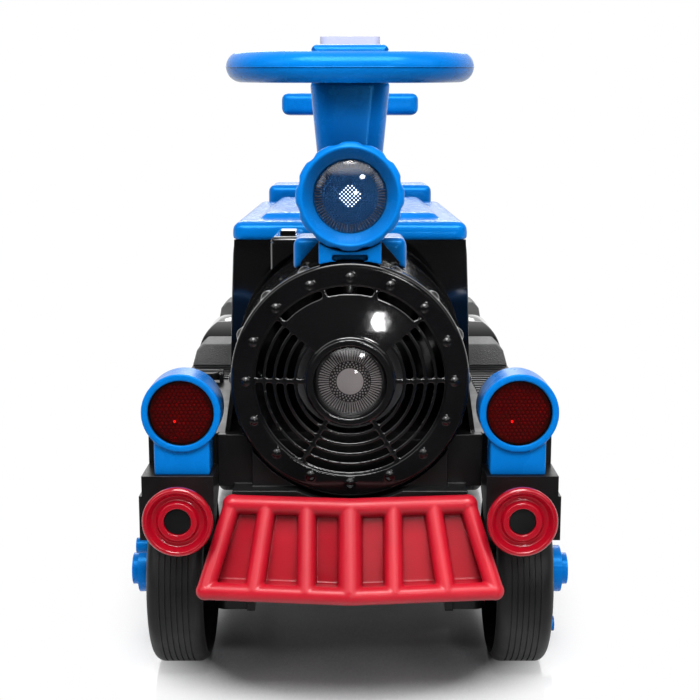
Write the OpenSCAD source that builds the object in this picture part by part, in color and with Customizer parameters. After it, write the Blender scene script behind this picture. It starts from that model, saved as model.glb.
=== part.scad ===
// Electric ride on train for a small child, with a steering wheel and storage under the seat.
// Millimetres, Z up, the train faces -Y, its left side is +X. The origin is on the ground below the middle.

/* [Overall] */
// Length over cowcatcher and rear beam
overall_l = 690; // [660:1:720]
// Width over the hub caps
overall_w = 320; // [312:1:330]

/* [Wheels] */
// Radius of the tyres
wheel_r = 67; // [62:1:68]
// Width of the tyres
tyre_w = 40; // [34:1:42]
// Rounding of the tyre shoulders
tyre_shoulder = 8; // [4:1:10]
// Thickness of the tread
tread_t = 6; // [4:0.5:9]
// Width and depth of a tread groove
groove_w = 1; // [0.6:0.1:1.4]
// Distance between the tread grooves
groove_pitch = 4; // [3:0.25:5]
// Thickness of the wheel disc
web_t = 4; // [3:0.5:6]
// Radius of the wheel hub
wheel_hub_r = 13; // [10:0.5:16]
// Ribs inside each wheel
wheel_ribs = 8; // [5:1:12]
// Distance between the tyre centres, left to right
wheel_track = 244; // [240:1:248]
// Distance between the axles
wheelbase = 460; // [440:2:470]
// Distance of the front axle behind the front of the deck
front_axle_in = 32; // [28:1:36]
// Radius of the axles
axle_r = 4; // [3:0.5:5]
// Radius of the axle nuts
nut_r = 8; // [6:0.5:9]
// Thickness of the axle nuts
nut_t = 5; // [3:0.5:7]

/* [Hub caps] */
// Depth of the pocket for the cap
cap_recess = 6; // [4:0.5:8]
// Radius of the cap
cap_r = 50; // [46:1:52]
// Thickness of the cap ring and spokes
cap_t = 3; // [2:0.5:5]
// Width of the cap ring
cap_ring_w = 11; // [8:0.5:13]
// Width of a cap spoke
cap_spoke_w = 8; // [5:0.5:10]
// Number of spokes
cap_spokes = 8; // [5:1:10]
// Radius of the middle flange
cap_flange_r = 17; // [14:0.5:20]
// Radius of the middle boss
cap_boss_r = 11.5; // [10.5:0.5:13]
// How far the boss stands over the flange
cap_boss_h = 5; // [3:0.5:8]
// Radius of the hollow behind the boss
cap_bore_r = 9.5; // [8.5:0.5:10]
// Distance of the crank pin from the axle
crank_r = 43; // [40:0.5:44]
// Radius of the crank pin
crank_pin_r = 5.5; // [4:0.5:7]
// How far the crank pin ends short of the boss
crank_short = 8; // [4:0.5:12]
// Turn of the caps on the left side
cap_turn_left = 180; // [0:1:359]
// Turn of the caps on the right side
cap_turn_right = 49; // [0:1:359]

/* [Chassis] */
// Ground clearance under the pan
ground_clear = 96; // [92:1:100]
// Width of the pan
pan_w = 152; // [140:1:156]
// Wall of pan and mudguards
wall = 3.5; // [2.5:0.25:5]
// Height of the running boards
deck_z = 178; // [174:1:184]
// Thickness of the deck
deck_t = 5; // [4:0.5:7]
// Width over the running boards
deck_w = 284; // [280:1:286]
// Depth of the deck's side lip
deck_lip = 28; // [18:1:30]
// Distance between the tread bars on the running boards
tread_pitch = 10; // [8:1:14]
// Width of a tread bar
tread_bar_w = 4; // [3:0.5:5]
// Height of a tread bar
tread_bar_h = 1.2; // [0.8:0.1:1.6]
// Length of the side sills
sill_l = 280; // [240:2:290]
// Width of the side sills
sill_w = 36; // [30:1:38]
// Depth of the side sills
sill_h = 66; // [50:1:70]
// Thickness of the rear beam
rear_beam_t = 8; // [6:0.5:10]
// Depth of the rear beam
rear_beam_h = 70; // [60:1:80]
// Corner rounding of the rear beam
rear_beam_r = 12; // [6:1:16]

/* [Front end] */
// From the tip of the cowcatcher to the mudguards
bumper_reach = 45; // [40:1:50]
// Depth of the ledge that carries a side lamp
lamp_ledge = 38; // [34:1:42]
// Width of a mudguard
mudguard_w = 49; // [46:1:52]
// Extra width of the mudguard's lower flange
mudguard_flange = 2; // [1:0.5:3]
// Lower edge of the mudguards
mudguard_z0 = 111; // [108:1:116]
// Top of the flange
mudguard_z1 = 142; // [134:1:146]
// Ledge of the mudguards
mudguard_z2 = 156; // [153:1:160]
// Gap between tyre and wheel arch
arch_gap = 11; // [8:1:13]
// Half width of the beam's lower part
beam_low_hw = 81; // [74:1:83]
// Depth of the beam's lower part, front to back
beam_low_d = 28; // [22:1:30]
// Depth of the beam's upper part, front to back
beam_top_d = 8; // [6:0.5:10]
// Height of the step in the beam
beam_step_z = 143; // [140:1:150]
// Half width of the smokebox saddle
saddle_hw = 68; // [60:1:70]
// Depth of the saddle, front to back
saddle_d = 16; // [12:1:20]

/* [Cowcatcher] */
// Slope of the two halves to the sides
cow_v = 6.5; // [4:0.25:8]
// How far the top bar lies behind the tip bar
cow_lean = 30; // [26:1:32]
// Height of the top bar
cow_top_z = 136.5; // [132:0.5:138]
// Height of the tip bar
cow_low_z = 85; // [80:1:90]
// Half width at the top
cow_top_hw = 80; // [74:0.5:81]
// Half width at the bottom
cow_low_hw = 96.5; // [90:0.5:98]
// Radius of the top bar
cow_top_r = 6.5; // [5:0.25:7]
// Radius of the bottom bar
cow_low_r = 6; // [5:0.25:7]
// Radius of the middle bar
cow_mid_r = 8; // [6:0.25:9]
// Radius of the other bars
cow_bar_r = 6.25; // [5:0.25:7]
// Distance from the middle bar to the next
cow_bar_x = 29; // [26:0.5:31]
// Slanted bar at the top
cow_slant_top = 56; // [52:0.5:58]
// Slanted bar at the bottom
cow_slant_low = 64; // [60:0.5:68]
// Thickness of the back panel
cow_panel_t = 3.5; // [2.5:0.25:5]
// How far the panel's top lies behind the bar centres
cow_panel_back = 1; // [0.5:0.25:2]
// Depth of the shelf between the tip bar and the panel
cow_shelf = 15; // [8:0.5:18]
// Width of a fixing block
cow_foot_w = 24; // [18:1:30]
// Height of a fixing block
cow_foot_h = 20; // [14:1:24]

/* [Buffers] */
// Distance of a buffer from the middle
buffer_x = 114; // [112:0.5:117]
// Height of the buffers
buffer_z = 132.4; // [130:0.2:134]
// Radius of a buffer head
buffer_r = 23.5; // [21:0.5:24]
// Length of a buffer
buffer_l = 30; // [24:1:32]
// Rim of the buffer head, front to back
buffer_rim_t = 8; // [6:0.5:10]
// Width of the rim's flat edge
buffer_rim_w = 3; // [2:0.25:4]
// Depth of the dish
buffer_dish = 5; // [3:0.25:6]
// Outer radius of the middle ring
buffer_ring_r = 12.8; // [11.5:0.2:14]
// Radius of the plug in the ring
buffer_plug_r = 8.7; // [7:0.1:10]
// How far the plug lies behind the ring's front
buffer_plug_back = 2; // [1:0.25:4]

/* [Boiler] */
// Height of the boiler axis
boiler_z = 219; // [216:1:222]
// Radius of the barrel
boiler_r = 82; // [80:0.5:83]
// Wall of the barrel
boiler_wall = 3; // [2.5:0.25:4]
// Length of the barrel
boiler_len = 200; // [190:1:206]
// Half width of the barrel's foot on the deck
boiler_foot_hw = 88; // [86:0.5:90]
// Front edge of the front band, from the barrel's front
band_front_at = 58; // [58:1:64]
// Front edge of the rear band, from the barrel's front
band_rear_at = 124; // [118:1:130]
// Width of the bands
band_w = 8; // [6:0.5:9]
// How far the front band stands out
band_front_h = 2.5; // [1.5:0.25:3]
// How far the rear band stands out
band_rear_h = 5; // [4:0.25:5.5]
// Half width of the gusset at its root
gusset_root_hw = 34; // [30:0.5:36]
// Half width of the gusset at its top
gusset_top_hw = 21; // [16:0.5:24]
// Thickness of the gusset
gusset_t = 3; // [2:0.25:3.5]
// Height of the gusset over the barrel
gusset_h = 15; // [10:0.5:18]

/* [Smokebox ring] */
// Outer radius of the ring
ring_r = 81.5; // [79:0.5:82]
// Length of the ring
ring_l = 25; // [22:0.5:26]
// Thickness of the front lip
ring_lip = 4; // [3:0.25:5]
// Radius of the opening
ring_open_r = 65.5; // [63.5:0.25:66.5]
// Wall of the ring
ring_wall = 5.5; // [4:0.25:7]
// Rounding of the front edge
ring_round = 3; // [1.5:0.25:4]
// Circle of the bolt heads
bolt_circle_r = 71; // [70.5:0.25:72]
// Radius of a bolt head
bolt_r = 3.2; // [2.5:0.1:3.6]
// Height of a bolt head
bolt_h = 2; // [1.25:0.25:2.25]
// Number of bolts and of side studs
bolt_count = 16; // [12:2:16]
// Radius of a side stud
stud_r = 4.6; // [3.5:0.1:5]
// How far a stud stands out
stud_h = 2.4; // [1.5:0.1:2.8]

/* [Grille] */
// Radius of the grille's hidden rim
grille_r = 68.5; // [67:0.25:69]
// Thickness of the grille
grille_t = 3.5; // [3:0.25:4]
// How far the grille bulges
grille_bulge = 6; // [4:0.25:7]
// Outer radius of the largest slot
slot_r = 64.6; // [62.5:0.1:64.8]
// Step from slot to slot
slot_pitch = 7.15; // [6.8:0.05:7.2]
// Width of a slot
slot_w = 4.7; // [4:0.1:5]
// Number of slots from rim to collar
slot_count = 5; // [3:1:5]
// Width of the spokes
spoke_w = 3.4; // [2.5:0.1:4]
// Half angle of the closed panel at the top
panel_half = 50; // [44:1:52]
// Half angle of the middle vent over the panel
vent_mid_half = 14.7; // [12:0.1:15]
// Start of the side vents
vent_from = 18; // [17:0.5:20]
// End of the side vents
vent_to = 47; // [40:0.5:48]
// Outer radius of the lamp collar
collar_r = 29.5; // [28.5:0.25:30]
// Bore of the lamp collar
collar_bore_r = 25; // [24:0.25:26]
// How far the collar stands out
collar_h = 3; // [2:0.25:4]
// Depth of the centre lamp's reflector
centre_bowl_d = 16; // [12:0.5:18]
// Bulge of the centre lamp's lens
centre_lens_bulge = 5; // [3:0.25:6]
// Edge of the centre lamp's lens
centre_lens_edge = 2; // [1.5:0.25:3]
// Wall of the reflectors
bowl_wall = 2; // [1.5:0.25:2.5]
// Radius of the bulb seat in a reflector
bowl_seat_r = 6; // [4:0.5:7]
// Radius of the speaker
speaker_r = 38; // [34:0.5:42]
// Depth of the speaker
speaker_d = 20; // [16:0.5:21]
// Radius of the speaker's magnet
speaker_magnet_r = 18; // [14:0.5:20]

/* [Headlight] */
// Height of the headlight axis
head_z = 344; // [340:0.5:348]
// Radius of the bezel
bezel_r = 36.3; // [34:0.1:38]
// Length of the bezel
bezel_l = 18; // [15:0.5:20]
// Width of the bezel's flat front edge
bezel_edge = 4; // [3:0.25:5]
// Radius of the headlight lens
head_lens_r = 24; // [22:0.25:25]
// Depth from the bezel's front to the lens
bezel_dish = 9; // [7:0.5:11]
// Number of scallops
scallops = 12; // [8:1:16]
// Radius of a scallop cut
scallop_r = 9; // [7:0.5:11]
// Depth of a scallop
scallop_d = 1.3; // [0.8:0.1:1.8]
// Radius of the housing
head_body_r = 30; // [28.5:0.25:32]
// Length of the housing behind the bezel
head_body_l = 26; // [22:0.5:27]
// Wall of the housing
head_wall = 3; // [2.5:0.25:3.5]
// Rounding of the housing's back
head_round = 8; // [5:0.5:10]
// Bulge of the headlight lens
head_lens_bulge = 6; // [4:0.25:7]
// Edge of the headlight lens
head_lens_edge = 2; // [1.5:0.25:3]
// Half width of the foot
head_foot_hw = 21; // [18:0.5:22]
// Depth of the foot, front to back
head_foot_d = 26; // [22:0.5:28]
// Half width of the dark slot in the foot
head_slot_hw = 12; // [9:0.5:14]
// Height of the slot
head_slot_h = 4; // [3:0.25:5]
// Depth of the slot
head_slot_d = 6; // [4:0.5:8]

/* [Side lamps] */
// Distance of a side lamp from the middle
lamp_x = 114.3; // [112:0.1:116]
// Height of the side lamps
lamp_z = 199; // [196:0.5:202]
// Radius of the lamp housing
lamp_r = 27; // [25:0.25:28]
// Length of the lamp housing
lamp_l = 34; // [28:0.5:36]
// How far the housing stands behind the mudguard's front
lamp_back = 2; // [1:0.25:4]
// Radius of the red lens
lamp_lens_r = 22; // [20:0.25:23]
// Depth of the lens pocket
lamp_pocket = 5; // [4:0.25:7]
// Thickness of the lens at its edge
lamp_lens_t = 3; // [2:0.25:4]
// Bulge of the lens
lamp_lens_bulge = 2; // [1:0.25:3]
// Width of the lamp's foot
lamp_foot_w = 38; // [34:0.5:42]
// Depth of the lamp's foot, front to back
lamp_foot_d = 24; // [20:0.5:26]
// Rounding of the lamp's back
lamp_round = 8; // [5:0.5:10]

/* [Body and seat] */
// Half width of the body at its top
body_top_hw = 97.5; // [96:0.5:99]
// Half width of the body on the deck
body_foot_hw = 102.5; // [101:0.5:103]
// Top of the body
body_top_z = 297; // [290:1:302]
// Wall of the body
body_wall = 3; // [2.5:0.25:4]
// How far the frames on the body stand out
frame_h = 1.5; // [1:0.1:1.6]
// Width of the frames
frame_w = 9; // [6:0.5:12]
// Border between a frame and the body's edges
frame_in = 12; // [8:0.5:14]
// Half width of the seat
seat_hw = 98.5; // [97:0.5:99]
// Thickness of the seat with its pad
seat_t = 21; // [20:0.5:24]
// Height of the raised pad on the seat
seat_pad_h = 5.5; // [3:0.25:6]
// Half width of the pad
seat_pad_hw = 77; // [70:0.5:80]
// Border of the seat in front of the pad
seat_pad_front = 31; // [24:0.5:36]
// Border of the seat behind the pad
seat_pad_rear = 18; // [16:0.5:24]
// Wall of the seat
seat_wall = 4; // [3:0.25:5]
// How far the seat hangs over the body's front
seat_over = 8; // [5:0.5:12]
// Length of the seat
seat_l = 322; // [316:1:326]
// Rounding of the seat's edges
seat_round = 9; // [6:0.5:10]
// How far the hinge lies in front of the seat's back
hinge_in = 4; // [3.5:0.25:5]
// How far the hinge lies below the pad's top
hinge_down = 10.5; // [10.5:0.25:11]
// Radius of the hinge eyes
hinge_eye_r = 6; // [5:0.25:6.25]
// Radius of the hinge pins
pin_r = 2.5; // [2:0.1:3]
// Distance of a hinge from the middle
hinge_x = 60; // [50:1:66]
// Width of a hinge eye
hinge_eye_w = 10; // [8:0.5:12]
// Length of a hinge pin
pin_l = 30; // [24:1:34]
// Gap between seat and backrest
back_gap = 5.5; // [5:0.25:7]
// Half width of the backrest's base
back_base_hw = 88; // [84:0.5:92]
// Height of the backrest's base
back_base_h = 33; // [28:0.5:36]
// Rounding of the backrest's base
back_base_r = 8; // [5:0.5:10]
// Half width of the post
post_hw = 28; // [22:0.5:33]
// Depth of the post
post_d = 26; // [20:0.5:30]
// Rounding of the post
post_round = 6; // [3:0.5:8]
// Half width of the top bar
back_bar_hw = 74.5; // [66:0.5:80]
// Height of the top bar
back_bar_h = 24; // [20:0.5:30]
// Depth of the top bar
back_bar_d = 30; // [26:0.5:34]
// Rounding of the top bar
back_bar_r = 8; // [6:0.5:10]
// Top of the backrest
back_top_z = 428; // [410:1:436]

/* [Side boxes and tanks] */
// Front of the front boxes, from the body's front
box_front_at = 62; // [52:1:72]
// Front of the rear boxes, from the body's front
box_rear_at = 290; // [282:1:294]
// Length of a box
box_l = 45; // [38:1:48]
// Height of a front box
box_front_h = 20; // [16:0.5:24]
// Height of a rear box
box_rear_h = 28; // [22:0.5:30]
// How far the outer side leans in
box_lean = 4; // [2:0.5:6]
// Chamfer at the outer top edge
box_chamfer = 6; // [4:0.5:8]
// Radius of a tank's shoulder
tank_r = 28; // [24:0.5:30]
// Height of a tank over the deck
tank_h = 32; // [28:0.5:34]
// Half length of a whole tank on the deck
tank_half_l = 54; // [48:1:60]
// Length of the rear tank
tank_rear_l = 62; // [50:1:62]

/* [Steering] */
// Half width of the steering wheel
steer_hw = 86; // [80:0.5:90]
// Half depth of the steering wheel
steer_hd = 62; // [56:0.5:66]
// Radius of the rim
rim_r = 10.4; // [8:0.1:10.5]
// Height of the rim's centre
rim_z = 431; // [424:0.5:434]
// Rise of the rim toward the rider, in degrees
rim_tilt = 2.7; // [0:0.1:4]
// Half width of the hub
hub_hw = 25.75; // [25:0.25:30]
// Height of the hub
hub_h = 23; // [22:0.5:27]
// Rounding of the hub
hub_round = 5; // [3:0.5:6]
// Top of the column
column_top_z = 420; // [414:0.5:420]
// Half width of the column at its top
column_top_hw = 27.5; // [24:0.25:28]
// Half width of the column at its foot
column_low_hw = 17.25; // [16:0.25:23]
// Half depth of the column
column_hd = 20; // [16:0.25:20]
// Rounding of the column
column_round = 13; // [2:0.25:14]
// Half width of the column's base
base_hw = 39.5; // [36:0.25:41]
// Half depth of the column's base
base_hd = 23; // [21:0.25:23]
// Height of the base over the barrel
base_h = 13; // [9:0.5:16]
// Rounding of the base
base_round = 6; // [4:0.25:8]
// Radius of the steering shaft
shaft_r = 5; // [4:0.25:6]
// Radius of the clearance holes for the shaft
shaft_hole_r = 9; // [8:0.25:10]
// Thickness of the crank and of the steering arms
arm_t = 6; // [5:0.5:7]
// Radius of the arms' ends
arm_r = 7; // [6:0.5:7.5]
// Length of the crank
crank_arm = 20; // [18:0.5:21]
// Length of the steering arms
knuckle_arm = 40; // [38:0.5:42]
// Radius of the pins on the arms
arm_pin_r = 3; // [2.5:0.25:3.5]
// Play of the pins in the tie rod
arm_pin_play = 0.6; // [0.5:0.05:0.8]
// Thickness of the tie rod
tie_t = 5; // [4:0.25:5.5]
// Half width of the tie rod
tie_hw = 9.5; // [9:0.25:11]
// Distance of the kingpins from the middle
kingpin_x = 92; // [90:0.5:93]
// Radius of the kingpins
kingpin_r = 4; // [3.5:0.25:4.5]
// Radius of the knuckle barrel and the lugs
knuckle_r = 8.5; // [7.5:0.25:9]
// Thickness of the kingpin lugs
lug_t = 8; // [6:0.5:9]
// Thickness of bracket webs and axle hangers
hanger_t = 6; // [5:0.5:8]
// Half width of webs and hangers
hanger_hw = 12; // [10:0.5:14]
// Outer radius of the shaft bush
bush_r = 9; // [8:0.25:10]
// Flange of the bush
bush_flange = 4; // [3:0.25:5]

/* [Buttons] */
// Half width of the button panel
panel_hw = 20.5; // [20:0.25:24]
// Half depth of the button panel
panel_hd = 20; // [17:0.25:22]
// Thickness of the button panel
panel_t = 7; // [4:0.25:8]
// Radius of the horn button
horn_r = 7.5; // [7:0.25:8.5]
// Radius of a melody button
melody_r = 4.5; // [4:0.25:5]
// Distance of a melody button from the middle
melody_x = 14.25; // [14:0.25:16]
// How far the buttons stand out
button_h = 0.75; // [0.5:0.05:2.5]
// How deep the buttons reach into the hub
button_in = 3; // [2:0.25:4]
// Free depth under a button
button_free = 2.5; // [2.25:0.05:3]

/* [Control box] */
// Middle of the box, right of the middle
control_x = 49; // [46:0.5:52]
// Half width of the box
control_hw = 12; // [11:0.25:13]
// Front of the box, from the barrel's front
control_at = 104; // [98:1:108]
// Length of the box
control_l = 80; // [70:1:84]
// Top of the box
control_z = 307; // [304:0.5:312]
// Rounding of the box
control_round = 4; // [3:0.25:5]
// Width and depth of the line under its lid
lid_line = 1; // [0.6:0.1:1.2]
// Length of the rocker
rocker_l = 22; // [18:0.5:26]
// Half width of the rocker
rocker_hw = 6; // [5:0.25:6.5]
// Depth of the rocker's pivot below the box's top
rocker_down = 5; // [4:0.25:6]
// Lower depth of the rocker under its pivot
rocker_low = 4; // [3:0.25:4.5]
// Rise of the rocker's ends over the box's top
rocker_rise = 2.5; // [2:0.25:4]
// Room around the rocker
rocker_room = 3; // [2.5:0.25:4]
// Room under the rocker
rocker_floor = 1.2; // [1:0.1:1.5]
// Radius of the rocker's pivot pin
rocker_pin_r = 1.5; // [1.25:0.05:2]

/* [Drive pedal] */
// Middle of the pedal, right of the middle
pedal_x = 122; // [119:0.5:123]
// Half width of the pedal
pedal_hw = 12; // [10:0.5:12]
// Length of the pedal
pedal_l = 62; // [54:1:70]
// Thickness of the pedal
pedal_t = 5; // [4:0.25:6]
// Rest angle of the pedal
pedal_rest = 9; // [7:0.5:11]
// Hinge of the pedal, from the barrel's front
pedal_at = 186; // [180:1:190]
// Height of the hinge over the deck
pedal_up = 6; // [5.5:0.25:7]
// Radius of the pedal's barrel and lugs
pedal_eye_r = 4.5; // [4:0.25:5]
// Width of a pedal lug
pedal_lug_w = 3; // [2.5:0.25:3.5]

/* [Drive] */
// Width of the battery
battery_w = 70; // [60:1:80]
// Length of the battery
battery_l = 102; // [90:1:110]
// Height of the battery
battery_h = 48; // [40:1:55]
// Front of the battery, from the deck's front
battery_at = 282; // [262:1:302]
// Width of the circuit board
board_w = 80; // [60:1:90]
// Length of the circuit board
board_l = 60; // [50:1:70]
// Thickness of the circuit board
board_t = 2; // [1.5:0.25:2.5]
// Height of the rails under the board
board_rail = 6; // [4:0.5:8]
// Front of the circuit board, from the deck's front
board_at = 152; // [142:1:172]
// Length of the gearbox
gearbox_l = 74; // [66:1:80]
// Height of the gearbox
gearbox_h = 50; // [48:1:52]
// Rounding of the gearbox
gearbox_round = 14; // [8:0.5:18]
// Thickness of the gearbox
gearbox_w = 21; // [18:0.5:22]
// Radius of the motor
motor_r = 15; // [12:0.5:17]
// Length of the motor
motor_l = 58; // [50:1:62]
// Distance of the motor's axis behind the axle
motor_back = 30; // [28:0.5:32]
// Radius of the drive dog
dog_r = 16; // [12:0.5:18]

/* [Fits] */
// Gap between pieces that lie side by side
fit = 0.3; // [0.25:0.05:0.4]
// Radial play of a shaft or pin
running = 0.05; // [0.03:0.01:0.08]
// Overrun of cuts
over = 2; // [1:0.5:3]

/* [Hidden] */
$fn = 64;
ball_fn = 240;
// Shares of a length, without unit
stud_at_share = 0.5;
spoke_angles = [0, 180, 240, 300];

tip_y = -overall_l / 2;
tail_y = overall_l / 2;
mudguard_y = tip_y + bumper_reach;
deck_y0 = mudguard_y + lamp_ledge;
deck_y1 = tail_y - rear_beam_t;
deck_hw = deck_w / 2;
pan_hw = pan_w / 2;
pan_z1 = deck_z - deck_t;
floor_z = ground_clear + wall;
front_y = deck_y0 + front_axle_in;
rear_y = front_y + wheelbase;
track_x = wheel_track / 2;
tyre_hw = tyre_w / 2;
arch_r = wheel_r + arch_gap;
mudguard_x1 = deck_hw - fit;
mudguard_x0 = mudguard_x1 - mudguard_w;
cap_in = tyre_hw - cap_recess;
cap_out = overall_w / 2 - track_x;
cow_low_y = tip_y + cow_low_r / cos(cow_v);
cow_top_y = cow_low_y + cow_lean;
cow_shelf_z = cow_low_z + cow_low_r / 2;
cow_ribs = [
  [0, 0, cow_mid_r], [cow_bar_x, cow_bar_x, cow_bar_r], [cow_slant_top, cow_slant_low, cow_bar_r]
];
beam_y = deck_y0 - beam_low_d;
boiler_y1 = deck_y0 + boiler_len;
ring_y = deck_y0 - ring_l;
grille_y = ring_y + ring_lip;
collar_y = grille_y - grille_bulge - collar_h;
grille_ball = (slot_r * slot_r + grille_bulge * grille_bulge) / (2 * grille_bulge);
centre_lens_ball = (collar_bore_r * collar_bore_r + centre_lens_bulge * centre_lens_bulge) / (2 * centre_lens_bulge);
centre_lens_y = collar_y + centre_lens_edge;
bezel_y = ring_y - bezel_edge;
head_lens_y = bezel_y + bezel_dish;
head_lens_ball = (head_lens_r * head_lens_r + head_lens_bulge * head_lens_bulge) / (2 * head_lens_bulge);
foot_y0 = ring_y + fit;
foot_y1 = foot_y0 + head_foot_d;
gusset_y = foot_y1 + fit;
lamp_y = mudguard_y + lamp_back;
lamp_lens_ball = (lamp_lens_r * lamp_lens_r + lamp_lens_bulge * lamp_lens_bulge) / (2 * lamp_lens_bulge);
body_y0 = boiler_y1;
body_y1 = deck_y1;
seat_z0 = body_top_z + fit;
seat_z1 = seat_z0 + seat_t;
seat_y0 = body_y0 - seat_over;
seat_y1 = seat_y0 + seat_l;
seat_pad_y0 = seat_y0 + seat_pad_front;
seat_pad_y1 = seat_y1 - seat_pad_rear;
seat_lid_z1 = seat_z1 - seat_pad_h;
hinge_y = seat_y1 - hinge_in;
hinge_z = seat_z1 - hinge_down;
hinge_room = hinge_eye_r + over;
hinge_drop = seat_t - hinge_down;
hinge_relief = hinge_drop - sqrt(hinge_drop * hinge_drop - hinge_in * hinge_in) + fit;
back_y0 = seat_y1 + back_gap;
back_y1 = body_y1;
back_y = (back_y0 + back_y1) / 2;
back_base_z1 = body_top_z + back_base_h;
box_front_y = body_y0 + box_front_at;
box_rear_y = body_y0 + box_rear_at;
box_x0 = body_foot_hw + over;
box_x1 = deck_hw;
tank_ball = (tank_half_l * tank_half_l + tank_h * tank_h) / (2 * tank_h);
tank_x1 = deck_hw - fit;
tank_front_y = box_front_y + box_l + fit + tank_half_l;
tank_rear_y = box_rear_y + box_l + fit;
steer_y = front_y;
column_z0 = boiler_z + boiler_r + base_h;
hub_z0 = column_top_z + fit;
hub_z1 = hub_z0 + hub_h;
panel_z1 = hub_z1 + panel_t;
well_z = hub_z1 - button_in - button_free;
shaft_z1 = well_z - button_free;
rim_turn_r = steer_hd - rim_r;
rim_side_x = steer_hw - steer_hd;
lug_z1 = ground_clear;
knuckle_z1 = ground_clear - lug_t - fit;
knuckle_z0 = 2 * wheel_r - knuckle_z1;
lug_z0 = knuckle_z0 - fit - lug_t;
tie_z0 = knuckle_z1 - over + fit;
arm_z1 = knuckle_z1 - over;
arm_z0 = arm_z1 - arm_t;
arm_pin_z = tie_z0 + tie_t + fit;
tie_y = front_y + knuckle_arm;
crank_y = steer_y + crank_arm;
slot_pin_r = arm_pin_r + arm_pin_play;
pin_drop = crank_arm * (1 - cos(31));
arm_drop = knuckle_arm * (1 - cos(16));
control_y0 = deck_y0 + control_at;
control_y = control_y0 + control_l / 2;
rocker_z = control_z - rocker_down;
pedal_y = deck_y0 + pedal_at;
pedal_z = deck_z + pedal_up;
battery_y = deck_y0 + battery_at;
board_y = deck_y0 + board_at;
gear_x0 = pan_hw + fit;
gear_x1 = gear_x0 + gearbox_w;
gear_y = rear_y + motor_back / 2;
gear_z = ground_clear - fit - gearbox_h / 2;

black = [0.03, 0.03, 0.035];
satin = [0.07, 0.07, 0.075];
grey = [0.2, 0.2, 0.21];
blue = [0.02, 0.3, 0.7];
red = [0.7, 0.03, 0.07];
steel = [0.6, 0.61, 0.63];
pale = [0.85, 0.85, 0.9];
clear = [0.8, 0.85, 0.9];

// Flat rectangle with round corners, about its middle
module round_rect(w, h, r) {
  square([w - 2 * r, h], center = true);
  square([w, h - 2 * r], center = true);
  for (sx = [-1, 1], sy = [-1, 1])
    translate([sx * (w / 2 - r), sy * (h / 2 - r)])
      circle(r = r);
}

// Flat outline in x and z, drawn out from y0 to y1
module along_y(y0, y1) {
  translate([0, y1, 0])
    rotate([90, 0, 0])
      linear_extrude(y1 - y0)
        children();
}

// Flat outline in y and z, drawn out from x0 to x1
module along_x(x0, x1) {
  translate([x0, 0, 0])
    rotate([90, 0, 90])
      linear_extrude(x1 - x0)
        children();
}

// Round bars along the three axes
module rod_x(x0, x1, y, z, r) {
  translate([x0, y, z])
    rotate([0, 90, 0])
      cylinder(h = x1 - x0, r = r);
}

module rod_y(y0, y1, x, z, r) {
  translate([x, y0, z])
    rotate([-90, 0, 0])
      cylinder(h = y1 - y0, r = r);
}

module rod_z(z0, z1, x, y, r) {
  translate([x, y, z0])
    cylinder(h = z1 - z0, r = r);
}

// Outline of radius and depth, turned about an axis along y
module spin_y(x, y, z) {
  translate([x, y, z])
    rotate([-90, 0, 0])
      rotate_extrude()
        children();
}

// Outline of radius and depth, turned about an axis along x
module spin_x() {
  rotate([0, 90, 0])
    rotate_extrude()
      children();
}

// Left side as drawn, right side mirrored
module on_side(side) {
  mirror([side < 0 ? 1 : 0, 0, 0])
    children();
}

// Box between two corners
module box(a, b) {
  translate(a)
    cube(b - a);
}

// Block with all its edges rounded, about its middle
module soft_block(w, d, h, r) {
  intersection() {
    linear_extrude(h, center = true)
      round_rect(w, d, r);
    rotate([90, 0, 0])
      linear_extrude(d, center = true)
        round_rect(w, h, r);
    rotate([90, 0, 90])
      linear_extrude(w, center = true)
        round_rect(d, h, r);
  }
}

// Block with a flat underside, the other edges rounded, standing on z = 0
module soft_lid(w, d, h, r) {
  intersection() {
    soft_block(w, d, 2 * h, r);
    box([-w / 2, -d / 2, 0], [w / 2, d / 2, h]);
  }
}

// Round bar from p to q
module bar(p, q, r) {
  v = q - p;
  translate(p)
    rotate([0, acos(v[2] / norm(v)), atan2(v[1], v[0])])
      cylinder(h = norm(v), r = r);
}

// Right half of a bent bar, mitred in the middle, with a ball at its end
module half_bar(f, hw, r) {
  intersection() {
    bar(cow_pt(0, f) - cow_pt(hw, f) + cow_pt(0, f), cow_pt(hw, f), r);
    box([0, tip_y - over, 0], [overall_w, deck_y0, boiler_z]);
  }
  translate(cow_pt(hw, f))
    sphere(r = r + fit);
}

// Lens in y: an edge with a bulge to the front; its back lies at y = 0
module lens_y(r, edge, bulge, ball) {
  rod_y(-edge, 0, 0, 0, r);
  intersection() {
    translate([0, ball - edge - bulge, 0])
      sphere(r = ball, $fn = ball_fn);
    rod_y(-edge - bulge, -edge, 0, 0, r);
  }
}

// Cone shaped reflector, open to the front, from y = 0 to y = depth
module bowl_y(r, depth) {
  spin_y(0, 0, 0)
    polygon([
      [r, 0], [r, bowl_wall], [bowl_seat_r + bowl_wall, depth], [0, depth],
      [0, depth - bowl_wall], [bowl_seat_r, depth - bowl_wall], [r - bowl_wall, 0]
    ]);
}

// Lower tub with the rails of the circuit board
module chassis_pan() {
  color(satin)
    difference() {
      union() {
        difference() {
          box([-pan_hw, deck_y0, ground_clear], [pan_hw, deck_y1, pan_z1]);
          box([wall - pan_hw, deck_y0 + wall, floor_z], [pan_hw - wall, deck_y1 - wall, pan_z1 + over]);
        }
        for (side = [-1, 1])
          on_side(side)
            board_rail();
      }
      rod_z(ground_clear - over, floor_z + over, 0, steer_y, bush_r + running);
    }
}

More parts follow.
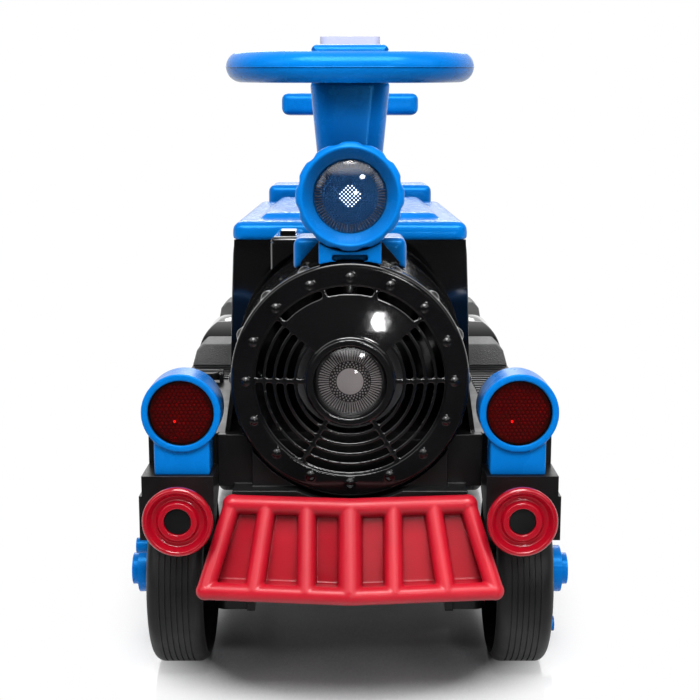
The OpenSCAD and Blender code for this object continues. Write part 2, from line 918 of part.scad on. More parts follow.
// Brackets of both axles, fixed under the tub
module axle_brackets() {
  color(satin)
    for (side = [-1, 1])
      on_side(side)
        difference() {
          union() {
            kingpin_bracket();
            axle_hanger();
          }
          rod_z(lug_z0 - over, ground_clear + over, kingpin_x, front_y, kingpin_r + running);
          rod_x(0, deck_hw, rear_y, wheel_r, axle_r + running);
        }
}

module kingpin_bracket() {
  box([pan_hw - hanger_t, front_y - hanger_hw, lug_z0], [pan_hw, front_y + hanger_hw, ground_clear]);
  for (z = [lug_z0, lug_z1 - lug_t]) {
    box([pan_hw - hanger_t, front_y - knuckle_r, z], [kingpin_x, front_y + knuckle_r, z + lug_t]);
    rod_z(z, z + lug_t, kingpin_x, front_y, knuckle_r);
  }
}

module axle_hanger() {
  box([pan_hw - hanger_t, rear_y - hanger_hw, wheel_r], [pan_hw, rear_y + hanger_hw, ground_clear]);
  rod_x(pan_hw - hanger_t, pan_hw, rear_y, wheel_r, hanger_hw);
}

module board_rail() {
  box([board_w / 2 - wall, board_y, floor_z - wall], [board_w / 2, board_y + board_l, floor_z + board_rail]);
}

// Running boards with their side lips and the lugs of the pedal
module deck() {
  color(satin)
    difference() {
      union() {
        box([-deck_hw, deck_y0, pan_z1], [deck_hw, deck_y1, deck_z]);
        for (side = [-1, 1])
          on_side(side)
            box([deck_hw - wall, deck_y0, deck_z - deck_lip], [deck_hw, deck_y1, deck_z]);
        for (side = [-1, 1])
          translate([-pedal_x + side * (pedal_hw + fit + pedal_lug_w / 2), 0, 0])
            pedal_lug();
        for (y = [deck_y0 + tread_pitch : tread_pitch : box_front_y - tread_pitch]) {
          tread_bar(1, y);
          if (abs(y - pedal_y + pedal_l / 2) > pedal_l / 2 + tread_pitch)
            tread_bar(-1, y);
        }
      }
      rod_z(pan_z1 - over, deck_z + over, 0, steer_y, shaft_hole_r);
      rod_x(-deck_hw, 0, pedal_y, pedal_z, pin_r + running);
    }
}

// Bar of the anti slip tread, beside the boiler
module tread_bar(side, y) {
  on_side(side)
    box([boiler_foot_hw + band_rear_h + tread_pitch, y - tread_bar_w / 2, pan_z1],
      [deck_hw - tread_bar_w, y + tread_bar_w / 2, deck_z + tread_bar_h]);
}

module pedal_lug() {
  hw = pedal_lug_w / 2;
  rod_x(-hw, hw, pedal_y, pedal_z, pedal_eye_r);
  box([-hw, pedal_y - pedal_eye_r, pan_z1], [hw, pedal_y + pedal_eye_r, pedal_z]);
}

module mudguard(side) {
  color(satin)
    on_side(side)
      difference() {
        union() {
          mudguard_walls();
          box([mudguard_x1 - wall, mudguard_y, mudguard_z0],
            [mudguard_x1 + mudguard_flange, deck_y0 - fit, mudguard_z1]);
          box([mudguard_x0, mudguard_y, mudguard_z0],
            [mudguard_x1 + mudguard_flange, mudguard_y + wall, mudguard_z1]);
        }
        rod_x(0, overall_w, front_y, wheel_r, arch_r);
        rod_y(mudguard_y - over, mudguard_y + wall + over, buffer_x, buffer_z, buffer_plug_r);
        rod_y(lamp_y, lamp_y + lamp_l + fit, lamp_x, lamp_z, lamp_r + fit);
      }
}

module mudguard_walls() {
  difference() {
    box([mudguard_x0, mudguard_y, mudguard_z0], [mudguard_x1, deck_y0, mudguard_z2]);
    box([mudguard_x0 + wall, mudguard_y + wall, mudguard_z0 - over],
      [mudguard_x1 - wall, deck_y0 + over, mudguard_z2 - wall]);
  }
  box([mudguard_x0, deck_y0 - wall, mudguard_z2 - wall], [mudguard_x1 - wall, deck_y0, deck_z]);
}

module mudguard_left() {
  mudguard(1);
}

module mudguard_right() {
  mudguard(-1);
}

// Boxes under the running boards, open below
module side_sills() {
  x1 = deck_hw - wall - fit;
  x0 = x1 - sill_w;
  color(satin)
    for (side = [-1, 1])
      on_side(side)
        difference() {
          translate([(x0 + x1) / 2, 0, pan_z1 - sill_h / 2])
            rotate([90, 0, 90])
              linear_extrude(sill_w, center = true)
                round_rect(sill_l, sill_h, rear_beam_r);
          box([x0 + wall, wall - sill_l / 2 + rear_beam_r, pan_z1 - sill_h - over],
            [x1 - wall, sill_l / 2 - rear_beam_r - wall, pan_z1 - wall]);
        }
}

// Beam behind the cowcatcher, with the saddle that the smokebox lies in
module front_beam() {
  color(satin)
    difference() {
      union() {
        box([-beam_low_hw, beam_y, ground_clear], [beam_low_hw, deck_y0, beam_step_z]);
        box([fit - mudguard_x0, deck_y0 - beam_top_d, beam_step_z - over],
          [mudguard_x0 - fit, deck_y0, deck_z]);
        box([-saddle_hw, deck_y0 - saddle_d, beam_step_z - over], [saddle_hw, deck_y0, deck_z]);
      }
      rod_y(beam_y - over, deck_y0 + over, 0, boiler_z, ring_r + stud_h + fit);
    }
}

// Rear beam with a sunk panel between its edges
module rear_beam() {
  color(satin)
    translate([0, 0, deck_z - rear_beam_h / 2])
      difference() {
        along_y(deck_y1, tail_y)
          round_rect(deck_w, rear_beam_h, rear_beam_r);
        along_y(tail_y - frame_h, tail_y + over)
          round_rect(deck_w - 2 * frame_in, rear_beam_h - 2 * frame_in, rear_beam_r - over);
      }
}

// Outline of the barrel: half round above its axis, flared below it
module barrel_outline(grow, foot_z) {
  translate([0, boiler_z])
    circle(r = boiler_r + grow);
  polygon([
    [-boiler_r - grow, boiler_z], [boiler_r + grow, boiler_z],
    [boiler_foot_hw + grow, foot_z], [-boiler_foot_hw - grow, foot_z]
  ]);
}

module barrel(grow, y0, y1) {
  along_y(y0, y1)
    intersection() {
      barrel_outline(grow, deck_z);
      translate([-deck_hw, deck_z])
        square([deck_w, boiler_z]);
    }
}

// Hollow barrel with two bands and the gusset behind the headlight
module boiler_shell() {
  gusset_z = boiler_z + boiler_r - boiler_wall;
  band_front_y = deck_y0 + band_front_at;
  band_rear_y = deck_y0 + band_rear_at;
  color(black)
    difference() {
      union() {
        barrel(0, deck_y0, boiler_y1);
        barrel(band_front_h, band_front_y, band_front_y + band_w);
        barrel(band_rear_h, band_rear_y, band_rear_y + band_w);
        along_y(gusset_y, gusset_y + gusset_t)
          polygon([
            [-gusset_root_hw, boiler_z], [gusset_root_hw, boiler_z], [gusset_root_hw, gusset_z],
            [gusset_top_hw, gusset_z + gusset_h], [-gusset_top_hw, gusset_z + gusset_h],
            [-gusset_root_hw, gusset_z]
          ]);
      }
      along_y(deck_y0 - over, boiler_y1 + over)
        barrel_outline(-boiler_wall, deck_z - over);
      rod_z(boiler_z, boiler_z + boiler_r + over, 0, steer_y, shaft_hole_r);
    }
}

// Riveted ring at the front of the boiler
module smokebox_ring() {
  color(black) {
    spin_y(0, ring_y, boiler_z)
      intersection() {
        union() {
          translate([ring_open_r, 0])
            square([ring_r - ring_open_r, ring_lip]);
          translate([ring_r - ring_wall, 0])
            square([ring_wall, ring_l]);
        }
        translate([0, ring_l])
          round_rect(2 * ring_r, 2 * ring_l, ring_round);
      }
    for (i = [0 : bolt_count - 1])
      translate([0, 0, boiler_z])
        rotate([0, i * 360 / bolt_count, 0]) {
          bolt_head();
          if (i > 0)
            side_stud();
        }
  }
}

module bolt_head() {
  ball = (bolt_r * bolt_r + bolt_h * bolt_h) / (2 * bolt_h);
  intersection() {
    translate([0, ring_y - bolt_h + ball, bolt_circle_r])
      sphere(r = ball);
    rod_y(ring_y - bolt_h, ring_y + ring_round, 0, bolt_circle_r, bolt_r);
  }
}

module side_stud() {
  ball = (stud_r * stud_r + stud_h * stud_h) / (2 * stud_h);
  intersection() {
    translate([0, ring_y + ring_l * stud_at_share, ring_r + stud_h - ball])
      sphere(r = ball);
    rod_z(ring_r - ring_wall / 2, ring_r + stud_h, 0, ring_y + ring_l * stud_at_share, stud_r);
  }
}

// Wedge about the upright, used to close the grille's top
module wedge(half) {
  polygon([
    [0, 0], [-ring_r * sin(half), ring_r * cos(half)], [-ring_r, 2 * ring_r],
    [ring_r, 2 * ring_r], [ring_r * sin(half), ring_r * cos(half)]
  ]);
}

module slot_ring(r) {
  difference() {
    circle(r = r);
    circle(r = r - slot_w);
  }
}

module grille_slots() {
  difference() {
    for (i = [0 : slot_count - 1])
      slot_ring(slot_r - i * slot_pitch);
    for (a = spoke_angles)
      rotate(a)
        translate([0, -spoke_w / 2])
          square([ring_r, spoke_w]);
    wedge(panel_half);
  }
  intersection() {
    slot_ring(slot_r);
    union() {
      wedge(vent_mid_half);
      difference() {
        wedge(vent_to);
        wedge(vent_from);
      }
    }
  }
}

// Bulged front of the boiler: five rows of ring slots, a closed panel and three vents over it
module boiler_grille() {
  color(black)
    translate([0, 0, boiler_z])
      difference() {
        union() {
          rod_y(grille_y, grille_y + grille_t, 0, 0, grille_r);
          intersection() {
            translate([0, grille_y - grille_bulge + grille_ball, 0])
              sphere(r = grille_ball);
            rod_y(grille_y - grille_bulge, grille_y, 0, 0, slot_r);
          }
          rod_y(collar_y, deck_y0, 0, 0, collar_r);
        }
        difference() {
          intersection() {
            translate([0, grille_y - grille_bulge + grille_ball, 0])
              sphere(r = grille_ball - grille_t);
            rod_y(grille_y - grille_bulge, grille_y + grille_t + over, 0, 0, slot_r);
          }
          rod_y(collar_y, deck_y0, 0, 0, collar_r);
        }
        along_y(grille_y - grille_bulge - over, grille_y + grille_t + over)
          grille_slots();
        rod_y(collar_y - over, deck_y0 + over, 0, 0, collar_bore_r);
      }
}

module speaker() {
  color(grey)
    spin_y(0, deck_y0, boiler_z)
      polygon([
        [0, wall], [speaker_magnet_r, wall], [collar_bore_r, 0], [speaker_r, 0], [speaker_r, wall],
        [speaker_magnet_r, speaker_d / 2], [speaker_magnet_r, speaker_d], [0, speaker_d]
      ]);
}

module centre_lamp_lens() {
  color(clear)
    translate([0, centre_lens_y + centre_lens_edge, boiler_z])
      lens_y(collar_bore_r - fit, centre_lens_edge, centre_lens_bulge, centre_lens_ball);
}

module centre_lamp_reflector() {
  color(steel)
    translate([0, centre_lens_y + centre_lens_edge, boiler_z])
      bowl_y(collar_bore_r - fit, centre_bowl_d);
}

// Round lamp body on a foot that sits on the smokebox ring
module headlight_housing() {
  color(blue)
    difference() {
      union() {
        spin_y(0, head_lens_y + head_lens_edge, head_z)
          intersection() {
            square([head_body_r, head_body_l]);
            round_rect(2 * head_body_r, 2 * head_body_l, head_round);
          }
        box([-head_foot_hw, foot_y0, boiler_z], [head_foot_hw, foot_y1, head_z - head_body_r / 2]);
      }
      rod_y(head_lens_y, head_lens_y + head_body_l - head_wall, 0, head_z, head_body_r - head_wall);
      rod_y(foot_y0 - over, foot_y1 + over, 0, boiler_z, boiler_r + fit);
      box([-head_slot_hw, foot_y0 - over, boiler_z + boiler_r],
        [head_slot_hw, foot_y0 + head_slot_d, boiler_z + boiler_r + head_slot_h]);
      rod_y(bezel_y, head_lens_y + head_lens_edge + fit, 0, head_z, bezel_r + fit);
    }
}

// Dished ring with a scalloped edge
module headlight_bezel() {
  color(blue)
    difference() {
      spin_y(0, bezel_y, head_z)
        polygon([
          [bezel_r - bezel_edge, 0], [bezel_r, ring_round], [bezel_r, bezel_dish + head_lens_edge],
          [head_lens_r + fit, bezel_dish + head_lens_edge], [head_lens_r + fit, bezel_dish]
        ]);
      for (i = [0 : scallops - 1])
        translate([0, 0, head_z])
          rotate([0, (i + 1 / 2) * 360 / scallops, 0])
            rod_y(bezel_y - over, bezel_y + bezel_l, 0, bezel_r + scallop_r - scallop_d, scallop_r);
    }
}

module headlight_lens() {
  color(clear)
    translate([0, head_lens_y + head_lens_edge, head_z])
      lens_y(head_lens_r, head_lens_edge, head_lens_bulge, head_lens_ball);
}

module headlight_reflector() {
  color(steel)
    translate([0, head_lens_y + head_lens_edge, head_z])
      bowl_y(head_body_r - head_wall - fit, head_body_l - head_wall - bowl_wall);
}

// Tapered column over the steering shaft
module steering_column() {
  base_z = column_z0 - 2 * base_h - boiler_wall;
  color(blue)
    difference() {
      union() {
        translate([0, steer_y, base_z])
          soft_lid(2 * base_hw, 2 * base_hd, column_z0 - base_z, base_round);
        hull() {
          rod_block(column_z0 - over, column_low_hw);
          rod_block(column_top_z - over, column_top_hw);
        }
      }
      rod_y(steer_y - 2 * base_hd, steer_y + 2 * base_hd, 0, boiler_z, boiler_r + fit);
      rod_z(boiler_z, column_top_z + over, 0, steer_y, shaft_r + fit);
    }
}

// Thin slice of the column at height z
module rod_block(z, hw) {
  translate([0, steer_y, z])
    linear_extrude(over)
      round_rect(2 * hw, 2 * column_hd, column_round);
}

module shaft_bush() {
  color(pale)
    difference() {
      union() {
        rod_z(ground_clear, floor_z, 0, steer_y, bush_r);
        rod_z(floor_z, floor_z + wall, 0, steer_y, bush_r + bush_flange);
      }
      rod_z(ground_clear - over, floor_z + wall + over, 0, steer_y, shaft_r + running);
    }
}

// Box on the barrel with the well of the direction switch
module control_box() {
  base_z = boiler_z + boiler_r / 2;
  well_hw = rocker_hw + fit;
  color(satin)
    difference() {
      translate([-control_x, control_y, base_z])
        soft_lid(2 * control_hw, control_l, control_z - base_z, control_round);
      rod_y(control_y - control_l, control_y + control_l, 0, boiler_z, boiler_r + band_rear_h + fit);
      translate([-control_x, control_y, control_z - rocker_down])
        linear_extrude(lid_line)
          difference() {
            square([4 * control_hw, 2 * control_l], center = true);
            round_rect(2 * (control_hw - lid_line), control_l - 2 * lid_line, control_round - lid_line);
          }
      box([-control_x - well_hw, control_y - rocker_l / 2 - rocker_room, rocker_z - rocker_low - rocker_floor],
        [-control_x + well_hw, control_y + rocker_l / 2 + rocker_room, control_z + over]);
    }
  color(steel)
    rod_x(-control_x - well_hw - over, -control_x + well_hw + over, control_y, rocker_z, rocker_pin_r);
}

// Body under the seat, with the storage room and a closed room behind it
module body_shell() {
  bulk_y = back_y0 + back_base_r;
  frame_z0 = deck_z + tank_h + frame_in / 2;
  frame_z1 = body_top_z - frame_in / 2;
  color(black)
    difference() {
      union() {
        along_y(body_y0, body_y1)
          body_outline(0, deck_z);
        intersection() {
          along_y(body_y0, body_y1)
            body_outline(-frame_h, deck_z);
          along_x(-deck_hw, deck_hw)
            frame_outline(body_y0 + frame_in, body_y1 - frame_in, frame_z0, frame_z1);
        }
        along_y(body_y1 - frame_h, body_y1 + frame_h)
          frame_outline(frame_in - body_top_hw, body_top_hw - frame_in, deck_z + frame_in, frame_z1);
      }
      along_y(body_y0 + body_wall, bulk_y)
        body_outline(body_wall, deck_z + body_wall);
      along_y(bulk_y + body_wall, body_y1 - body_wall)
        body_outline(body_wall, deck_z + body_wall);
    }
}

// Frame with round corners
module frame_outline(x0, x1, z0, z1) {
  translate([(x0 + x1) / 2, (z0 + z1) / 2])
    difference() {
      round_rect(x1 - x0, z1 - z0, frame_w);
      round_rect(x1 - x0 - 2 * frame_w, z1 - z0 - 2 * frame_w, frame_w / 2);
    }
}

// Outline of the body; a cut leaves the wall and runs over the top
module body_outline(shrink, z0) {
  z1 = body_top_z + (shrink > 0 ? over : 0);
  polygon([
    [shrink - body_foot_hw, z0], [body_foot_hw - shrink, z0],
    [body_top_hw - shrink, z1], [shrink - body_top_hw, z1]
  ]);
}

// Hinged seat over the storage room, with a raised pad
module seat_lid() {
  rear_in = hinge_in + hinge_room;
  notch_hw = hinge_eye_w / 2 + fit;
  color(blue)
    difference() {
      union() {
        translate([0, (seat_y0 + seat_y1) / 2, seat_z0])
          soft_lid(2 * seat_hw, seat_l, seat_lid_z1 - seat_z0, seat_round);
        translate([0, (seat_pad_y0 + seat_pad_y1) / 2, seat_z0])
          soft_lid(2 * seat_pad_hw, seat_pad_y1 - seat_pad_y0, seat_t, seat_round);
      }
      seat_hollow(seat_hw - seat_wall, seat_y0 + seat_over + seat_wall, seat_y1 - rear_in - seat_wall, seat_lid_z1);
      seat_hollow(seat_pad_hw - seat_wall, seat_pad_y0 + seat_wall, seat_pad_y1 - seat_wall, seat_z1);
      box([-deck_hw, hinge_y, seat_z0 - over], [deck_hw, seat_y1 + over, seat_z0 + hinge_relief]);
      rod_y(seat_y0 - over, body_y0 + 2 * fit, 0, boiler_z, boiler_r + 2 * fit);
      for (side = [-1, 1])
        on_side(side) {
          box([hinge_x - notch_hw, seat_y1 - rear_in, seat_z0 - over],
            [hinge_x + notch_hw, seat_y1 + over, seat_z1 + over]);
          rod_x(hinge_x - pin_l / 2 - fit, hinge_x + pin_l / 2 + fit, hinge_y, hinge_z, pin_r + running);
        }
    }
}

// Hollow under the seat, a wall below the top
module seat_hollow(hw, y0, y1, top) {
  box([-hw, y0, seat_z0 - over], [hw, y1, top - seat_wall]);
}

// Base, post and top bar of the backrest, with the hinge eyes of the seat
module backrest() {
  bar_z = back_top_z - back_bar_h / 2;
  color(blue)
    difference() {
      union() {
        translate([0, back_y, body_top_z])
          soft_lid(2 * back_base_hw, back_y1 - back_y0, back_base_h, back_base_r);
        translate([0, back_y, (back_base_z1 + bar_z) / 2])
          linear_extrude(bar_z - back_base_z1 + back_base_r, center = true)
            round_rect(2 * post_hw, post_d, post_round);
        translate([0, back_y, bar_z])
          soft_block(2 * back_bar_hw, back_bar_d, back_bar_h, back_bar_r);
        for (side = [-1, 1])
          on_side(side)
            hinge_eye();
      }
      for (side = [-1, 1])
        on_side(side)
          rod_x(hinge_x - hinge_eye_w, hinge_x + hinge_eye_w, hinge_y, hinge_z, pin_r + running);
    }
}

module hinge_eye() {
  x0 = hinge_x - hinge_eye_w / 2;
  x1 = hinge_x + hinge_eye_w / 2;
  rod_x(x0, x1, hinge_y, hinge_z, hinge_eye_r);
  box([x0, hinge_y, hinge_z - hinge_eye_r], [x1, back_y0 + back_base_r, hinge_z]);
}

// Two pins of the seat and one of the pedal
module hinge_pins() {
  pedal_pin = pedal_hw + fit + pedal_lug_w;
  color(steel) {
    for (side = [-1, 1])
      on_side(side)
        rod_x(hinge_x - pin_l / 2, hinge_x + pin_l / 2, hinge_y, hinge_z, pin_r);
    rod_x(-pedal_x - pedal_pin, -pedal_x + pedal_pin, pedal_y, pedal_z, pin_r);
  }
}

module side_box(side, y, h) {
  on_side(side)
    along_y(y, y + box_l)
      polygon([
        [box_x0, deck_z], [box_x1, deck_z],
        [box_x1 - box_lean, deck_z + h - box_chamfer],
        [box_x1 - box_lean - box_chamfer, deck_z + h], [box_x0, deck_z + h]
      ]);
}

module side_boxes() {
  color(grey)
    for (side = [-1, 1]) {
      side_box(side, box_front_y, box_front_h);
      side_box(side, box_rear_y, box_rear_h);
    }
}

// Arched tank with a round shoulder, standing on the deck from y0 to y1
module side_tank(side, y, y0, y1) {
  on_side(side)
    intersection() {
      along_x(box_x0, tank_x1)
        translate([y, deck_z + tank_h - tank_ball])
          circle(r = tank_ball);
      along_y(y0, y1)
        union() {
          translate([tank_x1 - tank_r, deck_z + tank_h - tank_r])
            circle(r = tank_r);
          translate([0, deck_z])
            square([tank_x1 - tank_r, tank_h]);
        }
      box([0, y0, deck_z], [deck_w, y1, deck_z + tank_h]);
    }
}

module side_tanks() {
  color(black)
    for (side = [-1, 1]) {
      side_tank(side, tank_front_y, tank_front_y - tank_half_l, tank_front_y + tank_half_l);
      side_tank(side, tank_rear_y + tank_rear_l / 2, tank_rear_y, tank_rear_y + tank_rear_l);
    }
}

// Blue side lamp on its foot
module side_lamp(side) {
  color(blue)
    on_side(side)
      difference() {
        union() {
          spin_y(lamp_x, lamp_y, lamp_z)
            intersection() {
              square([lamp_r, lamp_l]);
              round_rect(2 * lamp_r, 2 * lamp_l, lamp_round);
            }
          box([lamp_x - lamp_foot_w / 2, lamp_y + over, mudguard_z2],
            [lamp_x + lamp_foot_w / 2, lamp_y + over + lamp_foot_d, lamp_z - lamp_r / 2]);
        }
        rod_y(lamp_y - over, lamp_y + lamp_pocket, lamp_x, lamp_z, lamp_lens_r + fit);
      }
}

module side_lamp_left() {
  side_lamp(1);
}

module side_lamp_right() {
  side_lamp(-1);
}

module side_lens(side) {
  color(red)
    on_side(side)
      translate([lamp_x, lamp_y + lamp_pocket, lamp_z])
        lens_y(lamp_lens_r, lamp_lens_t, lamp_lens_bulge, lamp_lens_ball);
}

module side_lens_left() {
  side_lens(1);
}

module side_lens_right() {
  side_lens(-1);
}

// Dished buffer heads on their stems
module buffers() {
  front = mudguard_y - buffer_l;
  color(red)
    for (side = [-1, 1])
      spin_y(side * buffer_x, front, buffer_z)
        polygon([
          [buffer_plug_r + fit, buffer_rim_w / 2], [buffer_ring_r, buffer_rim_w / 2],
          [buffer_ring_r + buffer_rim_w / 2, buffer_dish], [buffer_r - 2 * buffer_rim_w, buffer_dish],
          [buffer_r - buffer_rim_w, 0], [buffer_r - buffer_rim_w / 2, 0], [buffer_r, buffer_rim_w / 2],
          [buffer_r, buffer_rim_t - buffer_rim_w], [buffer_ring_r + buffer_rim_w, buffer_rim_t + buffer_rim_w],
          [buffer_ring_r + buffer_rim_w, buffer_l], [buffer_plug_r + fit, buffer_l]
        ]);
}

// Black plugs that hold the buffers to the mudguards
module buffer_plugs() {
  front = mudguard_y - buffer_l + buffer_rim_w / 2 + buffer_plug_back;
  color(black)
    for (side = [-1, 1]) {
      rod_y(front, mudguard_y + wall, side * buffer_x, buffer_z, buffer_plug_r - running);
      rod_y(mudguard_y + wall, mudguard_y + 2 * wall, side * buffer_x, buffer_z, buffer_ring_r);
    }
}

// Points on the cowcatcher: x from the middle, f from top bar (0) to tip bar (1)
function cow_y(f) = cow_top_y + f * (cow_low_y - cow_top_y);
function cow_z(f) = cow_top_z + f * (cow_low_z - cow_top_z);
function cow_pt(x, f) = [x, cow_y(f) + abs(x) * tan(cow_v), cow_z(f)];

// One half of an outline in y and z, cut to the slanted sides
module cow_half(inset, outline) {
  intersection() {
    translate([0, cow_top_y, 0])
      rotate([0, 0, cow_v])
        along_x(-cow_mid_r, cow_low_hw + cow_mid_r)
          polygon(outline);
    along_y(tip_y, deck_y0)
      polygon([
        [0, cow_top_z], [cow_top_hw - inset, cow_top_z], [cow_low_hw - inset, cow_low_z], [0, cow_low_z]
      ]);
  }
}

// Panel of one half, with its shelf, side wall and the webs behind the bars
module cow_panel() {
  y0 = cow_panel_back;
  y1 = y0 + cow_shelf - cow_lean;
  difference() {
    cow_half(0, [
      [y0, cow_top_z], [y0 + cow_panel_t, cow_top_z], [y1 + cow_panel_t, cow_shelf_z],
      [y1 + cow_panel_t, cow_low_z], [-cow_lean, cow_low_z]
    ]);
    difference() {
      cow_half(cow_panel_t, [
        [y0, cow_top_z], [y1, cow_shelf_z], [-cow_lean - over, cow_shelf_z], [-over, cow_top_z]
      ]);
      along_y(tip_y, deck_y0)
        for (rib = cow_ribs)
          polygon([
            [rib[0] - rib[2] + fit, cow_top_z], [rib[0] + rib[2] - fit, cow_top_z],
            [rib[1] + rib[2] - fit, cow_low_z], [rib[1] - rib[2] + fit, cow_low_z]
          ]);
    }
  }
}

// Fixing block between the panel and the front beam
module cow_foot() {
  x = (cow_bar_x + cow_slant_top) / 2;
  y = cow_pt(x, 0)[1] + cow_panel_t;
  z = cow_top_z - cow_foot_h;
  lean = (cow_lean - cow_shelf) * cow_foot_h / (cow_top_z - cow_shelf_z);
  along_x(x - cow_foot_w / 2, x + cow_foot_w / 2)
    polygon([[y, cow_top_z], [y - lean, z], [beam_y, z], [beam_y, cow_top_z]]);
}

module cowcatcher() {
  mid_back = [0, cow_mid_r - cow_low_r, 0];
  color(red) {
    bar(cow_pt(0, 0) + mid_back, cow_pt(0, 1) + mid_back, cow_mid_r);
    for (side = [-1, 1])
      on_side(side) {
        half_bar(0, cow_top_hw, cow_top_r);
        half_bar(1, cow_low_hw, cow_low_r);
        for (rib = [cow_ribs[1], cow_ribs[2]])
          bar(cow_pt(rib[0], 0), cow_pt(rib[1], 1), rib[2]);
        bar(cow_pt(cow_top_hw, 0), cow_pt(cow_low_hw, 1), cow_low_r);
        cow_panel();
        cow_foot();
      }
  }
}

module battery() {
  color(grey)
    translate([0, battery_y + battery_l / 2, floor_z])
      soft_lid(battery_w, battery_l, battery_h, bolt_r);
}

module circuit_board() {
  z = floor_z + board_rail;
  color([0.05, 0.3, 0.12])
    box([-board_w / 2, board_y, z], [board_w / 2, board_y + board_l, z + board_t]);
}

// Closed gearbox beside the driven wheel
module gearbox() {
  color(grey)
    difference() {
      along_x(gear_x0, gear_x1)
        translate([gear_y, gear_z])
          round_rect(gearbox_l, gearbox_h, gearbox_round);
      rod_x(gear_x0 - over, gear_x1 + over, rear_y, wheel_r, axle_r + fit);
    }
}

module motor() {
  color(steel)
    rod_x(gear_x0 - motor_l, gear_x0, rear_y + motor_back, wheel_r, motor_r);
}

// Rear axle with the collar that spaces the free wheel
module rear_axle() {
  end = track_x + cap_in + nut_t;
  color(steel) {
    rod_x(-end, end, rear_y, wheel_r, axle_r);
    rod_x(fit + tyre_hw - track_x, -pan_hw, rear_y, wheel_r, nut_r);
  }
}

// Nuts that keep the rear wheels on
module axle_nut(side, y) {
  x0 = track_x + cap_in + fit;
  color(steel)
    on_side(side)
      difference() {
        rod_x(x0, x0 + nut_t, y, wheel_r, nut_r);
        rod_x(x0 - over, x0 + nut_t + over, y, wheel_r, axle_r + running);
      }
}

module rear_axle_nuts() {
  axle_nut(1, rear_y);
  axle_nut(-1, rear_y);
}

module kingpins() {
  color(steel)
    for (side = [-1, 1])
      rod_z(lug_z0, lug_z1, side * kingpin_x, front_y, kingpin_r);
}

// Oval rim with a wide hub across it
module steering_wheel() {
  color(blue)
    difference() {
      union() {
        translate([0, steer_y, rim_z])
          rotate([rim_tilt, 0, 0])
            rim();
        translate([0, steer_y, hub_z0 + hub_h / 2])
          soft_block(2 * hub_hw, 2 * rim_turn_r, hub_h, hub_round);
      }
      rod_z(hub_z0 - over, shaft_z1 + fit, 0, steer_y, shaft_r + running);
      rod_z(well_z, hub_z1 + over, 0, steer_y, horn_r + fit);
      for (side = [-1, 1])
        rod_z(well_z, hub_z1 + over, side * melody_x, steer_y, melody_r + fit);
    }
}

// Two half rings and two straight bars about the rim's centre
module rim() {
  for (side = [-1, 1]) {
    on_side(side)
      translate([rim_side_x, 0, 0])
        rotate([0, 0, -90])
          rotate_extrude(angle = 180)
            translate([rim_turn_r, 0])
              circle(r = rim_r);
    rod_x(-rim_side_x, rim_side_x, side * rim_turn_r, 0, rim_r);
  }
}

// Shaft with the crank that moves the tie rod
module steering_shaft() {
  color(steel) {
    rod_z(arm_z0, shaft_z1, 0, steer_y, shaft_r);
    arm(0, steer_y, crank_arm);
  }
}

// Flat arm to the rear with an upright pin at its end
module arm(x, y, l) {
  rod_z(arm_z0, arm_z1, x, y, arm_r);
  rod_z(arm_z0, arm_z1, x, y + l, arm_r);
  box([x - arm_r, y, arm_z0], [x + arm_r, y + l, arm_z1]);
  rod_z(arm_z0, arm_pin_z, x, y + l, arm_pin_r);
}

module button_panel() {
  color(pale)
    difference() {
      translate([0, steer_y, hub_z1])
        linear_extrude(panel_t)
          round_rect(2 * panel_hw, 2 * panel_hd, hub_round);
      rod_z(hub_z1 - over, panel_z1 + over, 0, steer_y, horn_r + fit);
      for (side = [-1, 1])
        rod_z(hub_z1 - over, panel_z1 + over, side * melody_x, steer_y, melody_r + fit);
    }
}

module button(x, r) {
  rod_z(hub_z1 - button_in, panel_z1 + button_h, x, steer_y, r);
}

module horn_button() {
  color(red)
    button(0, horn_r);
}

module melody_button_left() {
  color(blue)
    button(melody_x, melody_r);
}

module melody_button_right() {
  color(blue)
    button(-melody_x, melody_r);
}

// Steering knuckle with its arm, stub axle and axle nut
module knuckle(side) {
  x_end = track_x + cap_in + nut_t;
  color(grey)
    on_side(side)
      difference() {
        union() {
          rod_z(knuckle_z0, knuckle_z1, kingpin_x, front_y, knuckle_r);
          arm(kingpin_x, front_y, knuckle_arm);
          rod_x(kingpin_x, x_end, front_y, wheel_r, axle_r);
          rod_x(track_x + cap_in + fit, x_end, front_y, wheel_r, nut_r);
        }
        rod_z(knuckle_z0 - over, knuckle_z1 + over, kingpin_x, front_y, kingpin_r + running);
      }
}

module knuckle_left() {
  knuckle(1);
}

module knuckle_right() {
  knuckle(-1);
}

// Flat rod between the knuckles, with a tab for the crank
module tie_rod() {
  z1 = tie_z0 + tie_t;
  tab_y = crank_y - pin_drop - slot_pin_r - tie_hw / 2;
  color(grey)
    difference() {
      union() {
        box([-kingpin_x, tie_y - tie_hw, tie_z0], [kingpin_x, tie_y + tie_hw, z1]);
        for (side = [-1, 1])
          rod_z(tie_z0, z1, side * kingpin_x, tie_y, tie_hw);
        box([-2 * tie_hw, tab_y, tie_z0], [2 * tie_hw, tie_y + tie_hw, z1]);
      }
      for (x = [-kingpin_x, kingpin_x])
        pin_slot(x, tie_y, arm_drop);
      pin_slot(0, crank_y, pin_drop);
    }
}

// Slot for an arm's pin, which also moves forward by drop
module pin_slot(x, y, drop) {
  z1 = tie_z0 + tie_t + over;
  rod_z(tie_z0 - over, z1, x, y, slot_pin_r);
  rod_z(tie_z0 - over, z1, x, y - drop, slot_pin_r);
  box([x - slot_pin_r, y - drop, tie_z0 - over], [x + slot_pin_r, y, z1]);
}

